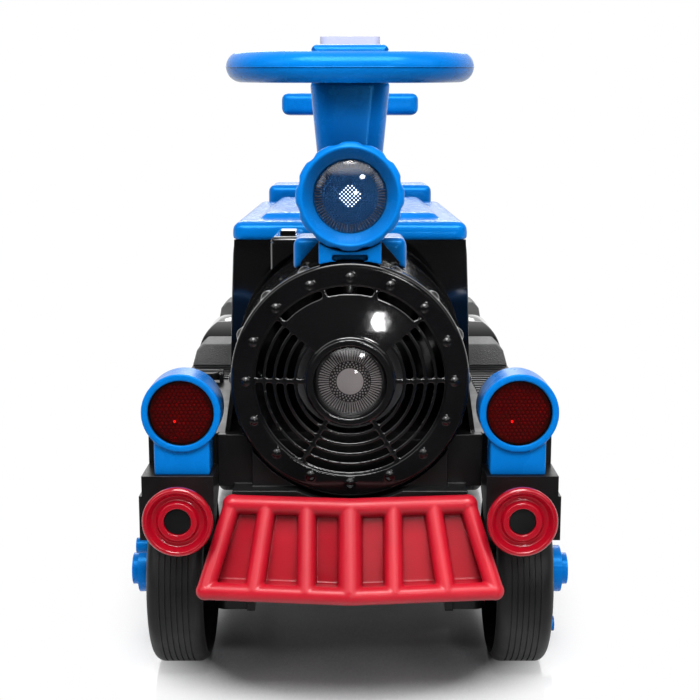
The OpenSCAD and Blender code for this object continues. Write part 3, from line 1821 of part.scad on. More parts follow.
// Wheel about its own middle, outer side to +x, with ribs on the inner side
module wheel() {
  inner_r = wheel_r - tread_t;
  web_x = cap_in - web_t;
  spin_x()
    difference() {
      intersection() {
        round_rect(2 * wheel_r, tyre_w, tyre_shoulder);
        translate([axle_r + running, -tyre_hw])
          square([wheel_r, tyre_w]);
      }
      translate([wheel_hub_r, -tyre_hw - over])
        square([inner_r - wheel_hub_r, web_x + tyre_hw + over]);
      translate([0, cap_in])
        square([cap_r + fit, tyre_w]);
      for (y = [groove_pitch / 2 : groove_pitch : tyre_hw - tyre_shoulder], side = [-1, 1])
        translate([wheel_r, side * y])
          square(2 * [groove_w, groove_w / 2], center = true);
    }
  for (i = [0 : wheel_ribs - 1])
    rotate([i * 360 / wheel_ribs, 0, 0])
      box([0, -wall / 2, wheel_hub_r - over], [web_x + over, wall / 2, inner_r + over]);
}

module place_wheel(side, y) {
  on_side(side)
    translate([track_x, y, wheel_r])
      children();
}

module front_wheel_left() {
  color(black)
    place_wheel(1, front_y)
      wheel();
}

module front_wheel_right() {
  color(black)
    place_wheel(-1, front_y)
      wheel();
}

// Driven wheel with the dog that the gearbox turns
module rear_wheel_left() {
  color(black)
    place_wheel(1, rear_y) {
      wheel();
      difference() {
        rod_x(gear_x1 + fit - track_x, -tyre_hw / 2, 0, 0, dog_r);
        rod_x(-track_x, 0, 0, 0, axle_r + running);
      }
    }
}

module rear_wheel_right() {
  color(black)
    place_wheel(-1, rear_y)
      wheel();
}

// Spoked hub cap with its boss and crank pin, about the wheel's middle
module hub_cap(turn) {
  flange_x = cap_out - cap_boss_h;
  color(blue)
    rotate([turn, 0, 0])
      difference() {
        union() {
          translate([cap_in, 0, 0])
            rotate([90, 0, 90])
              linear_extrude(cap_t)
                cap_outline();
          rod_x(cap_in, flange_x, 0, 0, cap_flange_r);
          rod_x(cap_in, cap_out, 0, 0, cap_boss_r);
          rod_x(cap_in, cap_in + 2 * cap_t, 0, crank_r, crank_pin_r + cap_t / 2);
          rod_x(cap_in, cap_out - crank_short, 0, crank_r, crank_pin_r);
        }
        rod_x(cap_in - over, flange_x - cap_t, 0, 0, cap_bore_r);
      }
}

module cap_outline() {
  difference() {
    circle(r = cap_r);
    circle(r = cap_r - cap_ring_w);
  }
  circle(r = cap_flange_r + cap_t);
  for (i = [0 : cap_spokes - 1])
    rotate(i * 360 / cap_spokes)
      translate([cap_flange_r - cap_t, -cap_spoke_w / 2])
        square([cap_r - cap_ring_w / 2 - cap_flange_r + cap_t, cap_spoke_w]);
}

module front_cap_left() {
  place_wheel(1, front_y)
    hub_cap(cap_turn_left);
}

module front_cap_right() {
  place_wheel(-1, front_y)
    hub_cap(cap_turn_right);
}

module rear_cap_left() {
  place_wheel(1, rear_y)
    hub_cap(cap_turn_left);
}

module rear_cap_right() {
  place_wheel(-1, rear_y)
    hub_cap(cap_turn_right);
}

// Pedal plate, hinged at the heel
module drive_pedal() {
  color(black)
    translate([-pedal_x, pedal_y, pedal_z])
      rotate([-pedal_rest, 0, 0])
        difference() {
          union() {
            rod_x(-pedal_hw, pedal_hw, 0, 0, pedal_eye_r);
            translate([0, -pedal_l / 2, 0])
              linear_extrude(pedal_t, center = true)
                round_rect(2 * pedal_hw, pedal_l, pedal_t);
          }
          rod_x(-2 * pedal_hw, 2 * pedal_hw, 0, 0, pin_r + running);
        }
}

// Rocker with a dip in the middle, on the pin of the control box
module direction_switch() {
  top = rocker_down + rocker_rise;
  hl = rocker_l / 2;
  color(black)
    translate([-control_x, control_y, rocker_z])
      difference() {
        along_x(-rocker_hw, rocker_hw)
          polygon([
            [-hl, top], [-hl, -rocker_low / 2], [0, -rocker_low], [hl, -rocker_low / 2],
            [hl, top], [0, rocker_down]
          ]);
        rod_x(-rocker_hw - over, rocker_hw + over, 0, 0, rocker_pin_r + running);
      }
}

chassis_pan();
axle_brackets();
deck();
mudguard_left();
mudguard_right();
side_sills();
front_beam();
rear_beam();
boiler_shell();
smokebox_ring();
boiler_grille();
speaker();
centre_lamp_lens();
centre_lamp_reflector();
headlight_housing();
headlight_bezel();
headlight_lens();
headlight_reflector();
steering_column();
shaft_bush();
control_box();
body_shell();
backrest();
hinge_pins();
side_boxes();
side_tanks();
side_lamp_left();
side_lamp_right();
side_lens_left();
side_lens_right();
buffers();
buffer_plugs();
cowcatcher();
battery();
circuit_board();
gearbox();
motor();
rear_axle();
rear_axle_nuts();
kingpins();
seat_lid();
steering_wheel();
steering_shaft();
button_panel();
horn_button();
melody_button_left();
melody_button_right();
knuckle_left();
knuckle_right();
tie_rod();
front_wheel_left();
front_wheel_right();
rear_wheel_left();
rear_wheel_right();
front_cap_left();
front_cap_right();
rear_cap_left();
rear_cap_right();
drive_pedal();
direction_switch();
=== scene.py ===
import math

import bmesh
import bpy
from mathutils import Matrix, Vector


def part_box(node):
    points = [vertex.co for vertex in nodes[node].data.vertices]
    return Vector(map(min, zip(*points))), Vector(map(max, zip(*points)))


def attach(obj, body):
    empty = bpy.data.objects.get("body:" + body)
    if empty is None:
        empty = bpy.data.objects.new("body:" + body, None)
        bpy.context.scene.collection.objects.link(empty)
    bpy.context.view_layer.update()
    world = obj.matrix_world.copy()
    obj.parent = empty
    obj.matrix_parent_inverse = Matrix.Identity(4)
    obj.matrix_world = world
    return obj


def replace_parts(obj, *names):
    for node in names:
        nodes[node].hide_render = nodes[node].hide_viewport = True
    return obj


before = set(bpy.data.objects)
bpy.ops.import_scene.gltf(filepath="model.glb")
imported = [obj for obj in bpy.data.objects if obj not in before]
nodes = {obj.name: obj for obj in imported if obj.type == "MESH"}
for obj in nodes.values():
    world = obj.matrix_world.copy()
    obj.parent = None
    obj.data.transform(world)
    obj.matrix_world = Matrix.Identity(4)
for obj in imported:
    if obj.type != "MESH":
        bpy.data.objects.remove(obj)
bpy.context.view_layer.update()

# Ride on train: finishes and small trim on the CAD nodes, and the stage. In metres; the train faces -Y.
MM = 0.001
X_AXIS = Vector((1, 0, 0))
Y_AXIS = Vector((0, 1, 0))
Z_AXIS = Vector((0, 0, 1))

# Camera, at the photograph's place and angle
CAMERA_PLACE = (0, -1155 * MM, 387 * MM)
CAMERA_TILT = math.radians(80.438)
CAMERA_LENS = 66.86
CAMERA_SENSOR = 36

# Rim of the steering wheel, as in the part's source
RIM_R = 10.4 * MM
RIM_TILT = math.radians(2.7)

# Colours, linear
BLUE = (0.001, 0.185, 0.64)
BLUE_SHADE = (0.001, 0.162, 0.565)
BLUE_SHINE = (0.07, 0.48, 1.0)
RED = (0.52, 0.007, 0.022)
RED_SHADE = (0.43, 0.005, 0.017)
RED_SHINE = (1.0, 0.75, 0.75)
RED_DEEP = (0.33, 0.002, 0.011)
BLACK = (0.002, 0.002, 0.0024)
BLACK_PALE = (0.004, 0.004, 0.0045)
SATIN = (0.004, 0.004, 0.0045)
SATIN_PALE = (0.008, 0.008, 0.0085)
GRAIN = (0.095, 0.095, 0.096)
GRAIN_PALE = (0.130, 0.130, 0.131)
RUBBER = (0.005, 0.005, 0.0053)
RUBBER_PALE = (0.009, 0.009, 0.0095)
STEEL = (0.50, 0.51, 0.53)
STEEL_SHADE = (0.36, 0.37, 0.39)
PALE = (0.70, 0.69, 0.80)
PALE_SHADE = (0.62, 0.61, 0.74)
NYLON = (0.66, 0.64, 0.58)
NYLON_SHADE = (0.58, 0.56, 0.50)
FILLED = (0.05, 0.05, 0.054)
FILLED_PALE = (0.075, 0.075, 0.08)
BOARD = (0.012, 0.10, 0.03)
BOARD_PALE = (0.02, 0.15, 0.05)
# Centre lamp reflector: SMOKE on its raised ribs, dots and middle as painted light, SMOKE_DARK on its back as
# painted shade
SMOKE = (0.42, 0.37, 0.36)
SMOKE_DARK = (0.022, 0.020, 0.020)
# Headlight reflector: NIGHT on its back and dots, NIGHT_PALE on its ribs as a painted sheen
NIGHT = (0.014, 0.105, 0.30)
NIGHT_PALE = (0.16, 0.17, 0.24)
LENS_CLEAR = (0.95, 0.96, 0.98)
LENS_RED = (0.86, 0.10, 0.11)
# Side lamp reflector: CELL_RED on its pointed cells as painted light, CELL_DARK, half as bright, on its back as
# painted shade
CELL_RED = (0.21, 0.006, 0.008)
CELL_DARK = (0.11, 0.003, 0.004)
LIGHT_WHITE = (0.92, 0.97, 1.0)
LIGHT_RED = (1.0, 0.05, 0.03)
# The floor's painted shadow colour near the object, and its open colour
FLOOR_PAINTED_SHADOW = (0.12, 0.13, 0.14)
FLOOR_PALE = (0.93, 0.93, 0.94)
WHITE = (1, 1, 1)

# Painted shade where faces are hemmed in, in corners, under overhangs and on the floor near the object: its
# lowest share, and the openness at its two ends
CORNER_SHADE = (0.15, 0.15, 0.85)
SHELTER_SHADE = (0.30, 0.12, 0.55)
FLOOR_SHADE = (0, 0.05, 0.65)

# Paler edges of moulded plastic, partly wear and partly a painted edge highlight: their width and strength, and
# the share of the colour and the grey that they add
WEAR_AND_SHEEN_WIDTH = 1.2 * MM
WEAR_AND_SHEEN_SHARE = 0.25
WEAR_AND_SHEEN_GAIN = 0.10
WEAR_AND_SHEEN_LIFT = 0.012


# Materials

def add(tree, kind, values=None, **settings):
    """Adds a node; values go to its input sockets and settings to its own properties."""
    made = tree.nodes.new(kind)
    for key, value in settings.items():
        setattr(made, key, value)
    for key, value in (values or {}).items():
        made.inputs[key].default_value = value
    return made


def new_material(name):
    """A material with its node tree, its shader and object coordinates in metres."""
    material = bpy.data.materials.new(name)
    material.use_nodes = True
    tree = material.node_tree
    place = add(tree, "ShaderNodeTexCoord").outputs["Object"]
    return material, tree, tree.nodes["Principled BSDF"], place


def noise(tree, place, size, detail=3):
    """Cloudy pattern whose blobs are about size metres wide."""
    made = add(tree, "ShaderNodeTexNoise", {"Scale": 1 / size, "Detail": detail})
    tree.links.new(place, made.inputs["Vector"])
    return made.outputs["Fac"]


def spread(tree, source, low, high, start=0.35, end=0.65):
    """Maps a pattern, which runs from start to end, to the range from low to high."""
    made = add(tree, "ShaderNodeMapRange", {"From Min": start, "From Max": end, "To Min": low, "To Max": high})
    tree.links.new(source, made.inputs["Value"])
    return made.outputs["Result"]


def uneven(tree, source, value, low_share, high_share):
    """A value that follows a pattern, between two shares of itself."""
    return spread(tree, source, value * low_share, value * high_share)


def combine(tree, operation, first, second):
    """Two values in one, such as their product or the larger one."""
    made = add(tree, "ShaderNodeMath", operation=operation)
    tree.links.new(first, made.inputs[0])
    tree.links.new(second, made.inputs[1])
    return made.outputs["Value"]


def parts_of(tree, vector):
    """The x, y and z of a vector."""
    made = add(tree, "ShaderNodeSeparateXYZ")
    tree.links.new(vector, made.inputs["Vector"])
    return made.outputs


def blend_colours(tree, share, first, second):
    made = add(tree, "ShaderNodeMix", data_type="RGBA")
    made.inputs["A"].default_value = (*first, 1)
    made.inputs["B"].default_value = (*second, 1)
    tree.links.new(share, made.inputs["Factor"])
    return made.outputs["Result"]


def dimmed(tree, colour, share):
    """A colour times a share."""
    made = add(tree, "ShaderNodeMix", {"Factor": 1}, data_type="RGBA", blend_type="MULTIPLY")
    tree.links.new(colour, made.inputs["A"])
    tree.links.new(share, made.inputs["B"])
    return made.outputs["Result"]


def bump(tree, height, depth, before=None):
    made = add(tree, "ShaderNodeBump", {"Strength": 1, "Distance": depth})
    tree.links.new(height, made.inputs["Height"])
    if before is not None:
        tree.links.new(before, made.inputs["Normal"])
    return made.outputs["Normal"]


def edge_mask(tree, width):
    """1 on edges sharper than the width, 0 on flat faces."""
    soft = add(tree, "ShaderNodeBevel", {"Radius": width}, samples=4)
    flat_face = add(tree, "ShaderNodeNewGeometry")
    dot = add(tree, "ShaderNodeVectorMath", operation="DOT_PRODUCT")
    tree.links.new(soft.outputs["Normal"], dot.inputs[0])
    tree.links.new(flat_face.outputs["Normal"], dot.inputs[1])
    return spread(tree, dot.outputs["Value"], 1, 0, start=0.80, end=0.99)


def open_share(tree, reach, shade, upward=False):
    """Share of painted shade: 1 on open faces, and less in corners, or only under overhangs, within reach."""
    low, start, end = shade
    made = add(tree, "ShaderNodeAmbientOcclusion", {"Distance": reach}, samples=6)
    if upward:
        up = add(tree, "ShaderNodeCombineXYZ", {"Z": 1})
        tree.links.new(up.outputs["Vector"], made.inputs["Normal"])
    return spread(tree, made.outputs["AO"], low, 1, start, end)


def moulded(name, colour, shade, rough, grain_size, grain_depth, coat=0.0, shine=0.5, tint=WHITE,
            painted_corner_shade_reach=0.0, painted_overhang_shade_reach=0.0):
    """Moulded plastic: cloudy colour, uneven gloss, fine grain, paler edges that are partly wear and partly a
    painted highlight, and painted shade in corners and, where given, under overhangs.
    """
    material, tree, shader, place = new_material(name)
    cloud = noise(tree, place, size=60 * MM)
    body = blend_colours(tree, spread(tree, cloud, 0, 1), shade, colour)
    # Painted shade: the colour darkens in corners and, looking upward, under overhangs
    if painted_corner_shade_reach:
        body = dimmed(tree, body, open_share(tree, painted_corner_shade_reach, CORNER_SHADE))
    if painted_overhang_shade_reach:
        body = dimmed(tree, body, open_share(tree, painted_overhang_shade_reach, SHELTER_SHADE, upward=True))
    # Paler edges: partly wear, partly a painted highlight along the edges
    worn_and_sheen = add(tree, "ShaderNodeMix", data_type="RGBA", blend_type="ADD")
    worn_and_sheen.inputs["B"].default_value = tuple(WEAR_AND_SHEEN_GAIN * c + WEAR_AND_SHEEN_LIFT for c in colour) + (1,)
    tree.links.new(spread(tree, edge_mask(tree, WEAR_AND_SHEEN_WIDTH), 0, WEAR_AND_SHEEN_SHARE, 0, 1), worn_and_sheen.inputs["Factor"])
    tree.links.new(body, worn_and_sheen.inputs["A"])
    tree.links.new(worn_and_sheen.outputs["Result"], shader.inputs["Base Color"])
    smear = noise(tree, place, size=22 * MM, detail=5)
    gloss = uneven(tree, smear, rough, low_share=0.85, high_share=1.2)
    tree.links.new(gloss, shader.inputs["Roughness"])
    grain = noise(tree, place, grain_size, detail=2)
    tree.links.new(bump(tree, grain, grain_depth), shader.inputs["Normal"])
    shader.inputs["Specular IOR Level"].default_value = shine
    shader.inputs["Specular Tint"].default_value = (*tint, 1)
    shader.inputs["Coat Weight"].default_value = coat
    shader.inputs["Coat Roughness"].default_value = 0.04
    return material


def leathered(name, colour, shade, rough, cell, depth, tint=WHITE, side_share=1.0):
    """Plastic with a moulded leather grain of small raised cells, which may fade on upright faces."""
    material, tree, shader, place = new_material(name)
    cells = add(tree, "ShaderNodeTexVoronoi", {"Scale": 1 / cell}, feature="DISTANCE_TO_EDGE")
    tree.links.new(place, cells.inputs["Vector"])
    upward = parts_of(tree, add(tree, "ShaderNodeTexCoord").outputs["Normal"])["Z"]
    pillow = spread(tree, cells.outputs["Distance"], 0, 1, start=0, end=0.35)
    level = spread(tree, upward, side_share, 1, start=0.7, end=0.95)
    raised = combine(tree, "MULTIPLY", pillow, level)
    cloud = noise(tree, place, size=40 * MM)
    body = blend_colours(tree, spread(tree, cloud, 0, 1), shade, colour)
    tree.links.new(body, shader.inputs["Base Color"])
    shader.inputs["Specular Tint"].default_value = (*tint, 1)
    groove_rough = rough * 1.2
    tree.links.new(spread(tree, raised, groove_rough, rough, 0, 1), shader.inputs["Roughness"])
    fine = noise(tree, place, size=cell * 0.35)
    fine_depth = depth * 0.3
    tree.links.new(bump(tree, fine, fine_depth, bump(tree, raised, depth)), shader.inputs["Normal"])
    return material


def metal(name, colour, shade, rough):
    """Drawn steel: fine scratches and a cloudy tone."""
    material, tree, shader, place = new_material(name)
    shader.inputs["Metallic"].default_value = 1
    cloud = noise(tree, place, size=9 * MM, detail=5)
    tree.links.new(blend_colours(tree, spread(tree, cloud, 0, 1), shade, colour), shader.inputs["Base Color"])
    tree.links.new(uneven(tree, cloud, rough, low_share=0.8, high_share=1.3), shader.inputs["Roughness"])
    scratch = noise(tree, place, size=0.6 * MM, detail=6)
    tree.links.new(bump(tree, scratch, depth=0.02 * MM), shader.inputs["Normal"])
    return material


def clear(name, colour, rough):
    """Clear plastic with the faint unevenness of a moulded lens."""
    material, tree, shader, place = new_material(name)
    shader.inputs["Base Color"].default_value = (*colour, 1)
    shader.inputs["Transmission Weight"].default_value = 1
    shader.inputs["IOR"].default_value = 1.49
    smear = noise(tree, place, size=15 * MM, detail=4)
    tree.links.new(uneven(tree, smear, rough, low_share=0.6, high_share=1.6), shader.inputs["Roughness"])
    wave = noise(tree, place, size=12 * MM, detail=1)
    tree.links.new(bump(tree, wave, depth=0.01 * MM), shader.inputs["Normal"])
    return material


def glowing(name, colour, strength):
    """Lit diode: a bright face with slightly uneven light."""
    material, tree, shader, place = new_material(name)
    shader.inputs["Base Color"].default_value = (*colour, 1)
    shader.inputs["Roughness"].default_value = 0.3
    shader.inputs["Emission Color"].default_value = (*colour, 1)
    flicker = noise(tree, place, size=1.5 * MM, detail=1)
    light = uneven(tree, flicker, strength, low_share=0.8, high_share=1)
    tree.links.new(light, shader.inputs["Emission Strength"])
    return material


def insert(name, colour):
    """Smooth plastic inside a lamp."""
    shade = tuple(0.8 * c for c in colour)
    return moulded(name, colour, shade, rough=0.4, grain_size=1.0 * MM, grain_depth=0.01 * MM, shine=0.15)


# Blue plastic with painted shade in its corners; blue_plastic also has painted shade under overhangs
BLUE_FINISH_AND_PAINTED_SHADE = dict(rough=0.26, grain_size=0.7 * MM, grain_depth=0.012 * MM, tint=BLUE_SHINE, painted_corner_shade_reach=30 * MM)
blue = moulded("blue_plastic", BLUE, BLUE_SHADE, painted_overhang_shade_reach=30 * MM, **BLUE_FINISH_AND_PAINTED_SHADE)
blue_cap = moulded("blue_cap", BLUE, BLUE_SHADE, **BLUE_FINISH_AND_PAINTED_SHADE)
blue_seat = leathered("blue_seat", BLUE, BLUE_SHADE, rough=0.16, cell=6.0 * MM, depth=0.30 * MM, tint=BLUE_SHINE,
                      side_share=0.1)
red_gloss = moulded("red_gloss", RED_DEEP, RED_DEEP, rough=0.14, grain_size=1.5 * MM, grain_depth=0.006 * MM,
                    coat=0.4, tint=RED_SHINE)
# The red cowcatcher has painted shade under its overhangs, such as below its top bar
red_satin = moulded("red_satin", RED, RED_SHADE, rough=0.34, grain_size=0.8 * MM, grain_depth=0.02 * MM,
                    tint=RED_SHINE, painted_overhang_shade_reach=24 * MM)
black_gloss = moulded("black_gloss", BLACK_PALE, BLACK, rough=0.08, grain_size=1.5 * MM, grain_depth=0.004 * MM,
                      coat=0.5)
black_ring = moulded("black_ring", BLACK_PALE, BLACK, rough=0.11, grain_size=1.5 * MM, grain_depth=0.004 * MM,
                     shine=0.4)
black_satin = moulded("black_satin", SATIN_PALE, SATIN, rough=0.34, grain_size=0.6 * MM, grain_depth=0.02 * MM,
                      shine=0.3)
grained = leathered("grained_grey", GRAIN_PALE, GRAIN, rough=0.42, cell=1.8 * MM, depth=0.30 * MM)
tyre = moulded("tyre_black", RUBBER_PALE, RUBBER, rough=0.52, grain_size=0.9 * MM, grain_depth=0.03 * MM,
               shine=0.35)
filled = moulded("filled_plastic", FILLED_PALE, FILLED, rough=0.45, grain_size=0.8 * MM, grain_depth=0.02 * MM)
pale = moulded("pale_panel", PALE, PALE_SHADE, rough=0.3, grain_size=1.2 * MM, grain_depth=0.008 * MM)
nylon = moulded("nylon", NYLON, NYLON_SHADE, rough=0.42, grain_size=0.8 * MM, grain_depth=0.015 * MM)
board = moulded("board_green", BOARD_PALE, BOARD, rough=0.35, grain_size=1.0 * MM, grain_depth=0.01 * MM)
steel = metal("steel", STEEL, STEEL_SHADE, rough=0.28)
clear_lens = clear("clear_lens", LENS_CLEAR, rough=0.02)
red_lens = clear("red_lens", LENS_RED, rough=0.03)
# Lamp inserts: the pale ones carry painted light on raised ribs, dots and cells, the dark ones painted shade on
# the backs
smoke_insert = insert("smoke_insert", SMOKE)
smoke_dark = insert("smoke_dark", SMOKE_DARK)
night_insert = insert("night_insert", NIGHT)
night_pale = insert("night_pale", NIGHT_PALE)
red_insert = insert("red_insert", CELL_DARK)
red_cells = insert("red_cells", CELL_RED)
white_led = glowing("white_led", LIGHT_WHITE, strength=1.6)
red_led = glowing("red_led", LIGHT_RED, strength=3.0)

FINISHES = [
    (blue, ["headlight_housing", "headlight_bezel", "steering_column", "backrest", "side_lamp_left",
            "side_lamp_right", "steering_wheel", "melody_button_left", "melody_button_right"]),
    (blue_cap, ["front_cap_left", "front_cap_right", "rear_cap_left", "rear_cap_right"]),
    (blue_seat, ["seat_lid"]),
    (red_satin, ["cowcatcher"]),
    (red_gloss, ["buffers", "horn_button"]),
    (black_gloss, ["boiler_shell", "boiler_grille", "side_tanks", "body_shell", "control_box",
                   "direction_switch"]),
    (black_ring, ["smokebox_ring"]),
    (black_satin, ["chassis_pan", "axle_brackets", "deck", "mudguard_left", "mudguard_right", "side_sills",
                   "front_beam", "rear_beam", "drive_pedal", "buffer_plugs"]),
    (grained, ["side_boxes"]),
    (tyre, ["front_wheel_left", "front_wheel_right", "rear_wheel_left", "rear_wheel_right"]),
    (filled, ["knuckle_left", "knuckle_right", "tie_rod", "gearbox", "battery", "speaker"]),
    (pale, ["button_panel"]),
    (nylon, ["shaft_bush"]),
    (board, ["circuit_board"]),
    (steel, ["rear_axle", "rear_axle_nuts", "kingpins", "hinge_pins", "steering_shaft", "motor"]),
    (smoke_dark, ["centre_lamp_reflector"]),
    (night_insert, ["headlight_reflector"]),
    (clear_lens, ["centre_lamp_lens", "headlight_lens"]),
    (red_lens, ["side_lens_left", "side_lens_right"]),
]

for finish_material, names in FINISHES:
    for node_name in names:
        surfaces = nodes[node_name].data.materials
        surfaces.clear()
        surfaces.append(finish_material)


# Edges and fillets of the moulded pieces

def soften(name, width):
    """Rounds the edges of a CAD node, as moulding does."""
    stack = nodes[name].modifiers
    weld = stack.new("weld", "WELD")
    weld.merge_threshold = 0.01 * MM
    flat_faces = stack.new("flat", "DECIMATE")
    flat_faces.decimate_type = "DISSOLVE"
    flat_faces.angle_limit = math.radians(0.5)
    edge = stack.new("edge", "BEVEL")
    edge.width = width
    edge.segments = 3
    edge.limit_method = "ANGLE"
    edge.angle_limit = math.radians(32)
    edge.harden_normals = True
    even = stack.new("even", "WEIGHTED_NORMAL")
    even.keep_sharp = True


def melt(name, voxel, rounds):
    """Blends the joins of a CAD node into fillets and rounds its edges."""
    stack = nodes[name].modifiers
    grid = stack.new("grid", "REMESH")
    grid.mode = "VOXEL"
    grid.voxel_size = voxel
    grid.use_smooth_shade = True
    fillet = stack.new("fillet", "SMOOTH")
    fillet.factor = 0.5
    fillet.iterations = rounds


# Width of the rounding, and the nodes that have it
SOFT_EDGES = {
    0.4 * MM: ["button_panel", "horn_button", "melody_button_left",
               "melody_button_right", "direction_switch", "circuit_board"],
    0.8 * MM: ["front_cap_left", "front_cap_right", "rear_cap_left", "rear_cap_right",
               "control_box", "drive_pedal", "knuckle_left", "knuckle_right", "tie_rod", "gearbox"],
    1.2 * MM: ["chassis_pan", "axle_brackets", "deck", "side_sills", "front_beam", "rear_beam", "boiler_shell",
               "body_shell", "side_boxes", "side_tanks", "mudguard_left", "mudguard_right", "steering_wheel"],
}
for edge_width, names in SOFT_EDGES.items():
    for node_name in names:
        soften(node_name, edge_width)

# Size of the voxels and rounds of smoothing
MELTED = {
    "cowcatcher": (0.7 * MM, 4),
    "buffers": (0.5 * MM, 12),
    "steering_column": (1.2 * MM, 6),
    "backrest": (1.5 * MM, 6),
    "seat_lid": (1.8 * MM, 4),
    "side_lamp_left": (0.8 * MM, 5),
    "side_lamp_right": (0.8 * MM, 5),
    "headlight_housing": (0.8 * MM, 5),
    "headlight_bezel": (0.6 * MM, 24),
    "boiler_grille": (0.75 * MM, 5),
    "smokebox_ring": (0.8 * MM, 10),
}
for node_name, (voxel_size, smooth_rounds) in MELTED.items():
    melt(node_name, voxel_size, smooth_rounds)


# Mesh helpers

def piece(bm, name, body, material):
    """Makes an object of a finished mesh, which rides on a body."""
    bmesh.ops.remove_doubles(bm, verts=bm.verts, dist=0.001 * MM)
    bmesh.ops.recalc_face_normals(bm, faces=bm.faces)
    mesh = bpy.data.meshes.new(name)
    bm.to_mesh(mesh)
    bm.free()
    mesh.polygons.foreach_set("use_smooth", [True] * len(mesh.polygons))
    mesh.set_sharp_from_angle(angle=math.radians(38))
    mesh.materials.append(material)
    made = bpy.data.objects.new(name, mesh)
    bpy.context.scene.collection.objects.link(made)
    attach(made, body)
    return made


def join_rings(bm, rings, closed):
    """Faces between each ring of points and the next, and from the last to the first where closed."""
    for first, second in zip(rings, rings[1:] + rings[:1] if closed else rings[1:]):
        count = len(first)
        for i in range(count):
            j = (i + 1) % count
            bm.faces.new((first[i], first[j], second[j], second[i]))


def ways(count):
    """Unit vectors all round, in the plane that faces the front."""
    angles = [math.tau * k / count for k in range(count)]
    return [X_AXIS * math.cos(a) + Z_AXIS * math.sin(a) for a in angles]


def turn(bm, profile, place, steps):
    """Turns a closed outline of (radius, along) points about the line through place from front to back."""
    rings = [[bm.verts.new(place + out * r + Y_AXIS * a) for r, a in profile] for out in ways(steps)]
    join_rings(bm, rings, closed=True)


def dome(radius, bulge, count):
    """Points (radius, along) of a dome from its top, at 0, to its edge."""
    ball = (radius * radius + bulge * bulge) / (2 * bulge)
    radii = [radius * i / (count - 1) for i in range(count)]
    return [(r, ball - math.sqrt(ball * ball - r * r)) for r in radii]


def tube(bm, path, radius):
    """Round bead along a closed path."""
    rings = []
    sides = 8
    count = len(path)
    for i, point in enumerate(path):
        ahead = (path[(i + 1) % count] - path[i - 1]).normalized()
        out = ahead.cross(Z_AXIS).normalized()
        up = out.cross(ahead)
        angles = [math.tau * k / sides for k in range(sides)]
        rings.append([bm.verts.new(point + radius * (out * math.cos(a) + up * math.sin(a))) for a in angles])
    join_rings(bm, rings, closed=True)


def relief_disc(bm, place, radius, depth, steps, rings, rise=0.0):
    """Disc that faces the front and may rise to a low crown in its middle."""
    rows = []
    for ring in range(rings + 1):
        r = radius * ring / rings
        height = rise * (1 - (r / radius) ** 2)
        rows.append([bm.verts.new(place + out * r - Y_AXIS * height) for out in ways(steps)])
    rows.append([bm.verts.new(v.co + Y_AXIS * depth) for v in rows[-1]])
    join_rings(bm, rows, closed=False)
    bm.faces.new(rows[-1])


def beads(bm, places, radius):
    """Small round bumps."""
    for place in places:
        bmesh.ops.create_icosphere(bm, subdivisions=2, radius=radius, matrix=Matrix.Translation(place))


def front_of(name):
    """Middle of a round node's front, its radius and its depth."""
    low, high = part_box(name)
    middle = Vector(((low.x + high.x) / 2, low.y, (low.z + high.z) / 2))
    return middle, (high.x - low.x) / 2, high.y - low.y


def spokes(bm, place, inner, outer, count, share, rise):
    """Ring of ridges that face the front; each takes a share of its part of the ring."""
    for out in ways(count):
        side = out.cross(Y_AXIS)
        ends = []
        for r in (inner, outer):
            half = share * math.pi * r / count
            points = (out * r - side * half, out * r + side * half, out * r - Y_AXIS * rise)
            ends.append([bm.verts.new(place + point) for point in points])
        (a, b, c), (d, e, f) = ends
        for corners in ((a, d, f, c), (c, f, e, b), (a, b, e, d), (a, c, b), (d, e, f)):
            bm.faces.new(corners)


# Lamps: ribbed inserts, domes and lit diodes

def hex_grid(radius, pitch):
    """Points (across, up) of a hexagonal grid inside a circle."""
    count = math.ceil(radius / pitch) + 1
    for row in range(-count, count + 1):
        for column in range(-count, count + 1):
            x = pitch * (column + row % 2 / 2)
            z = pitch * row * math.sqrt(3) / 2
            if math.hypot(x, z) < radius:
                yield x, z


def lens_dome(node, name, bulge, material):
    """Thin moulded dome in the place of a solid lens."""
    front, radius, depth = front_of(node)
    wall = 0.6 * MM
    rows = 16
    outer = dome(radius, bulge, rows) + [(radius, depth)]
    inner = [(r, a + wall) for r, a in dome(radius - wall, bulge, rows)] + [(radius - wall, depth)]
    bm = bmesh.new()
    turn(bm, outer + inner[::-1], front, steps=96)
    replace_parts(piece(bm, name, "chassis", material), node)
    return front, radius, depth


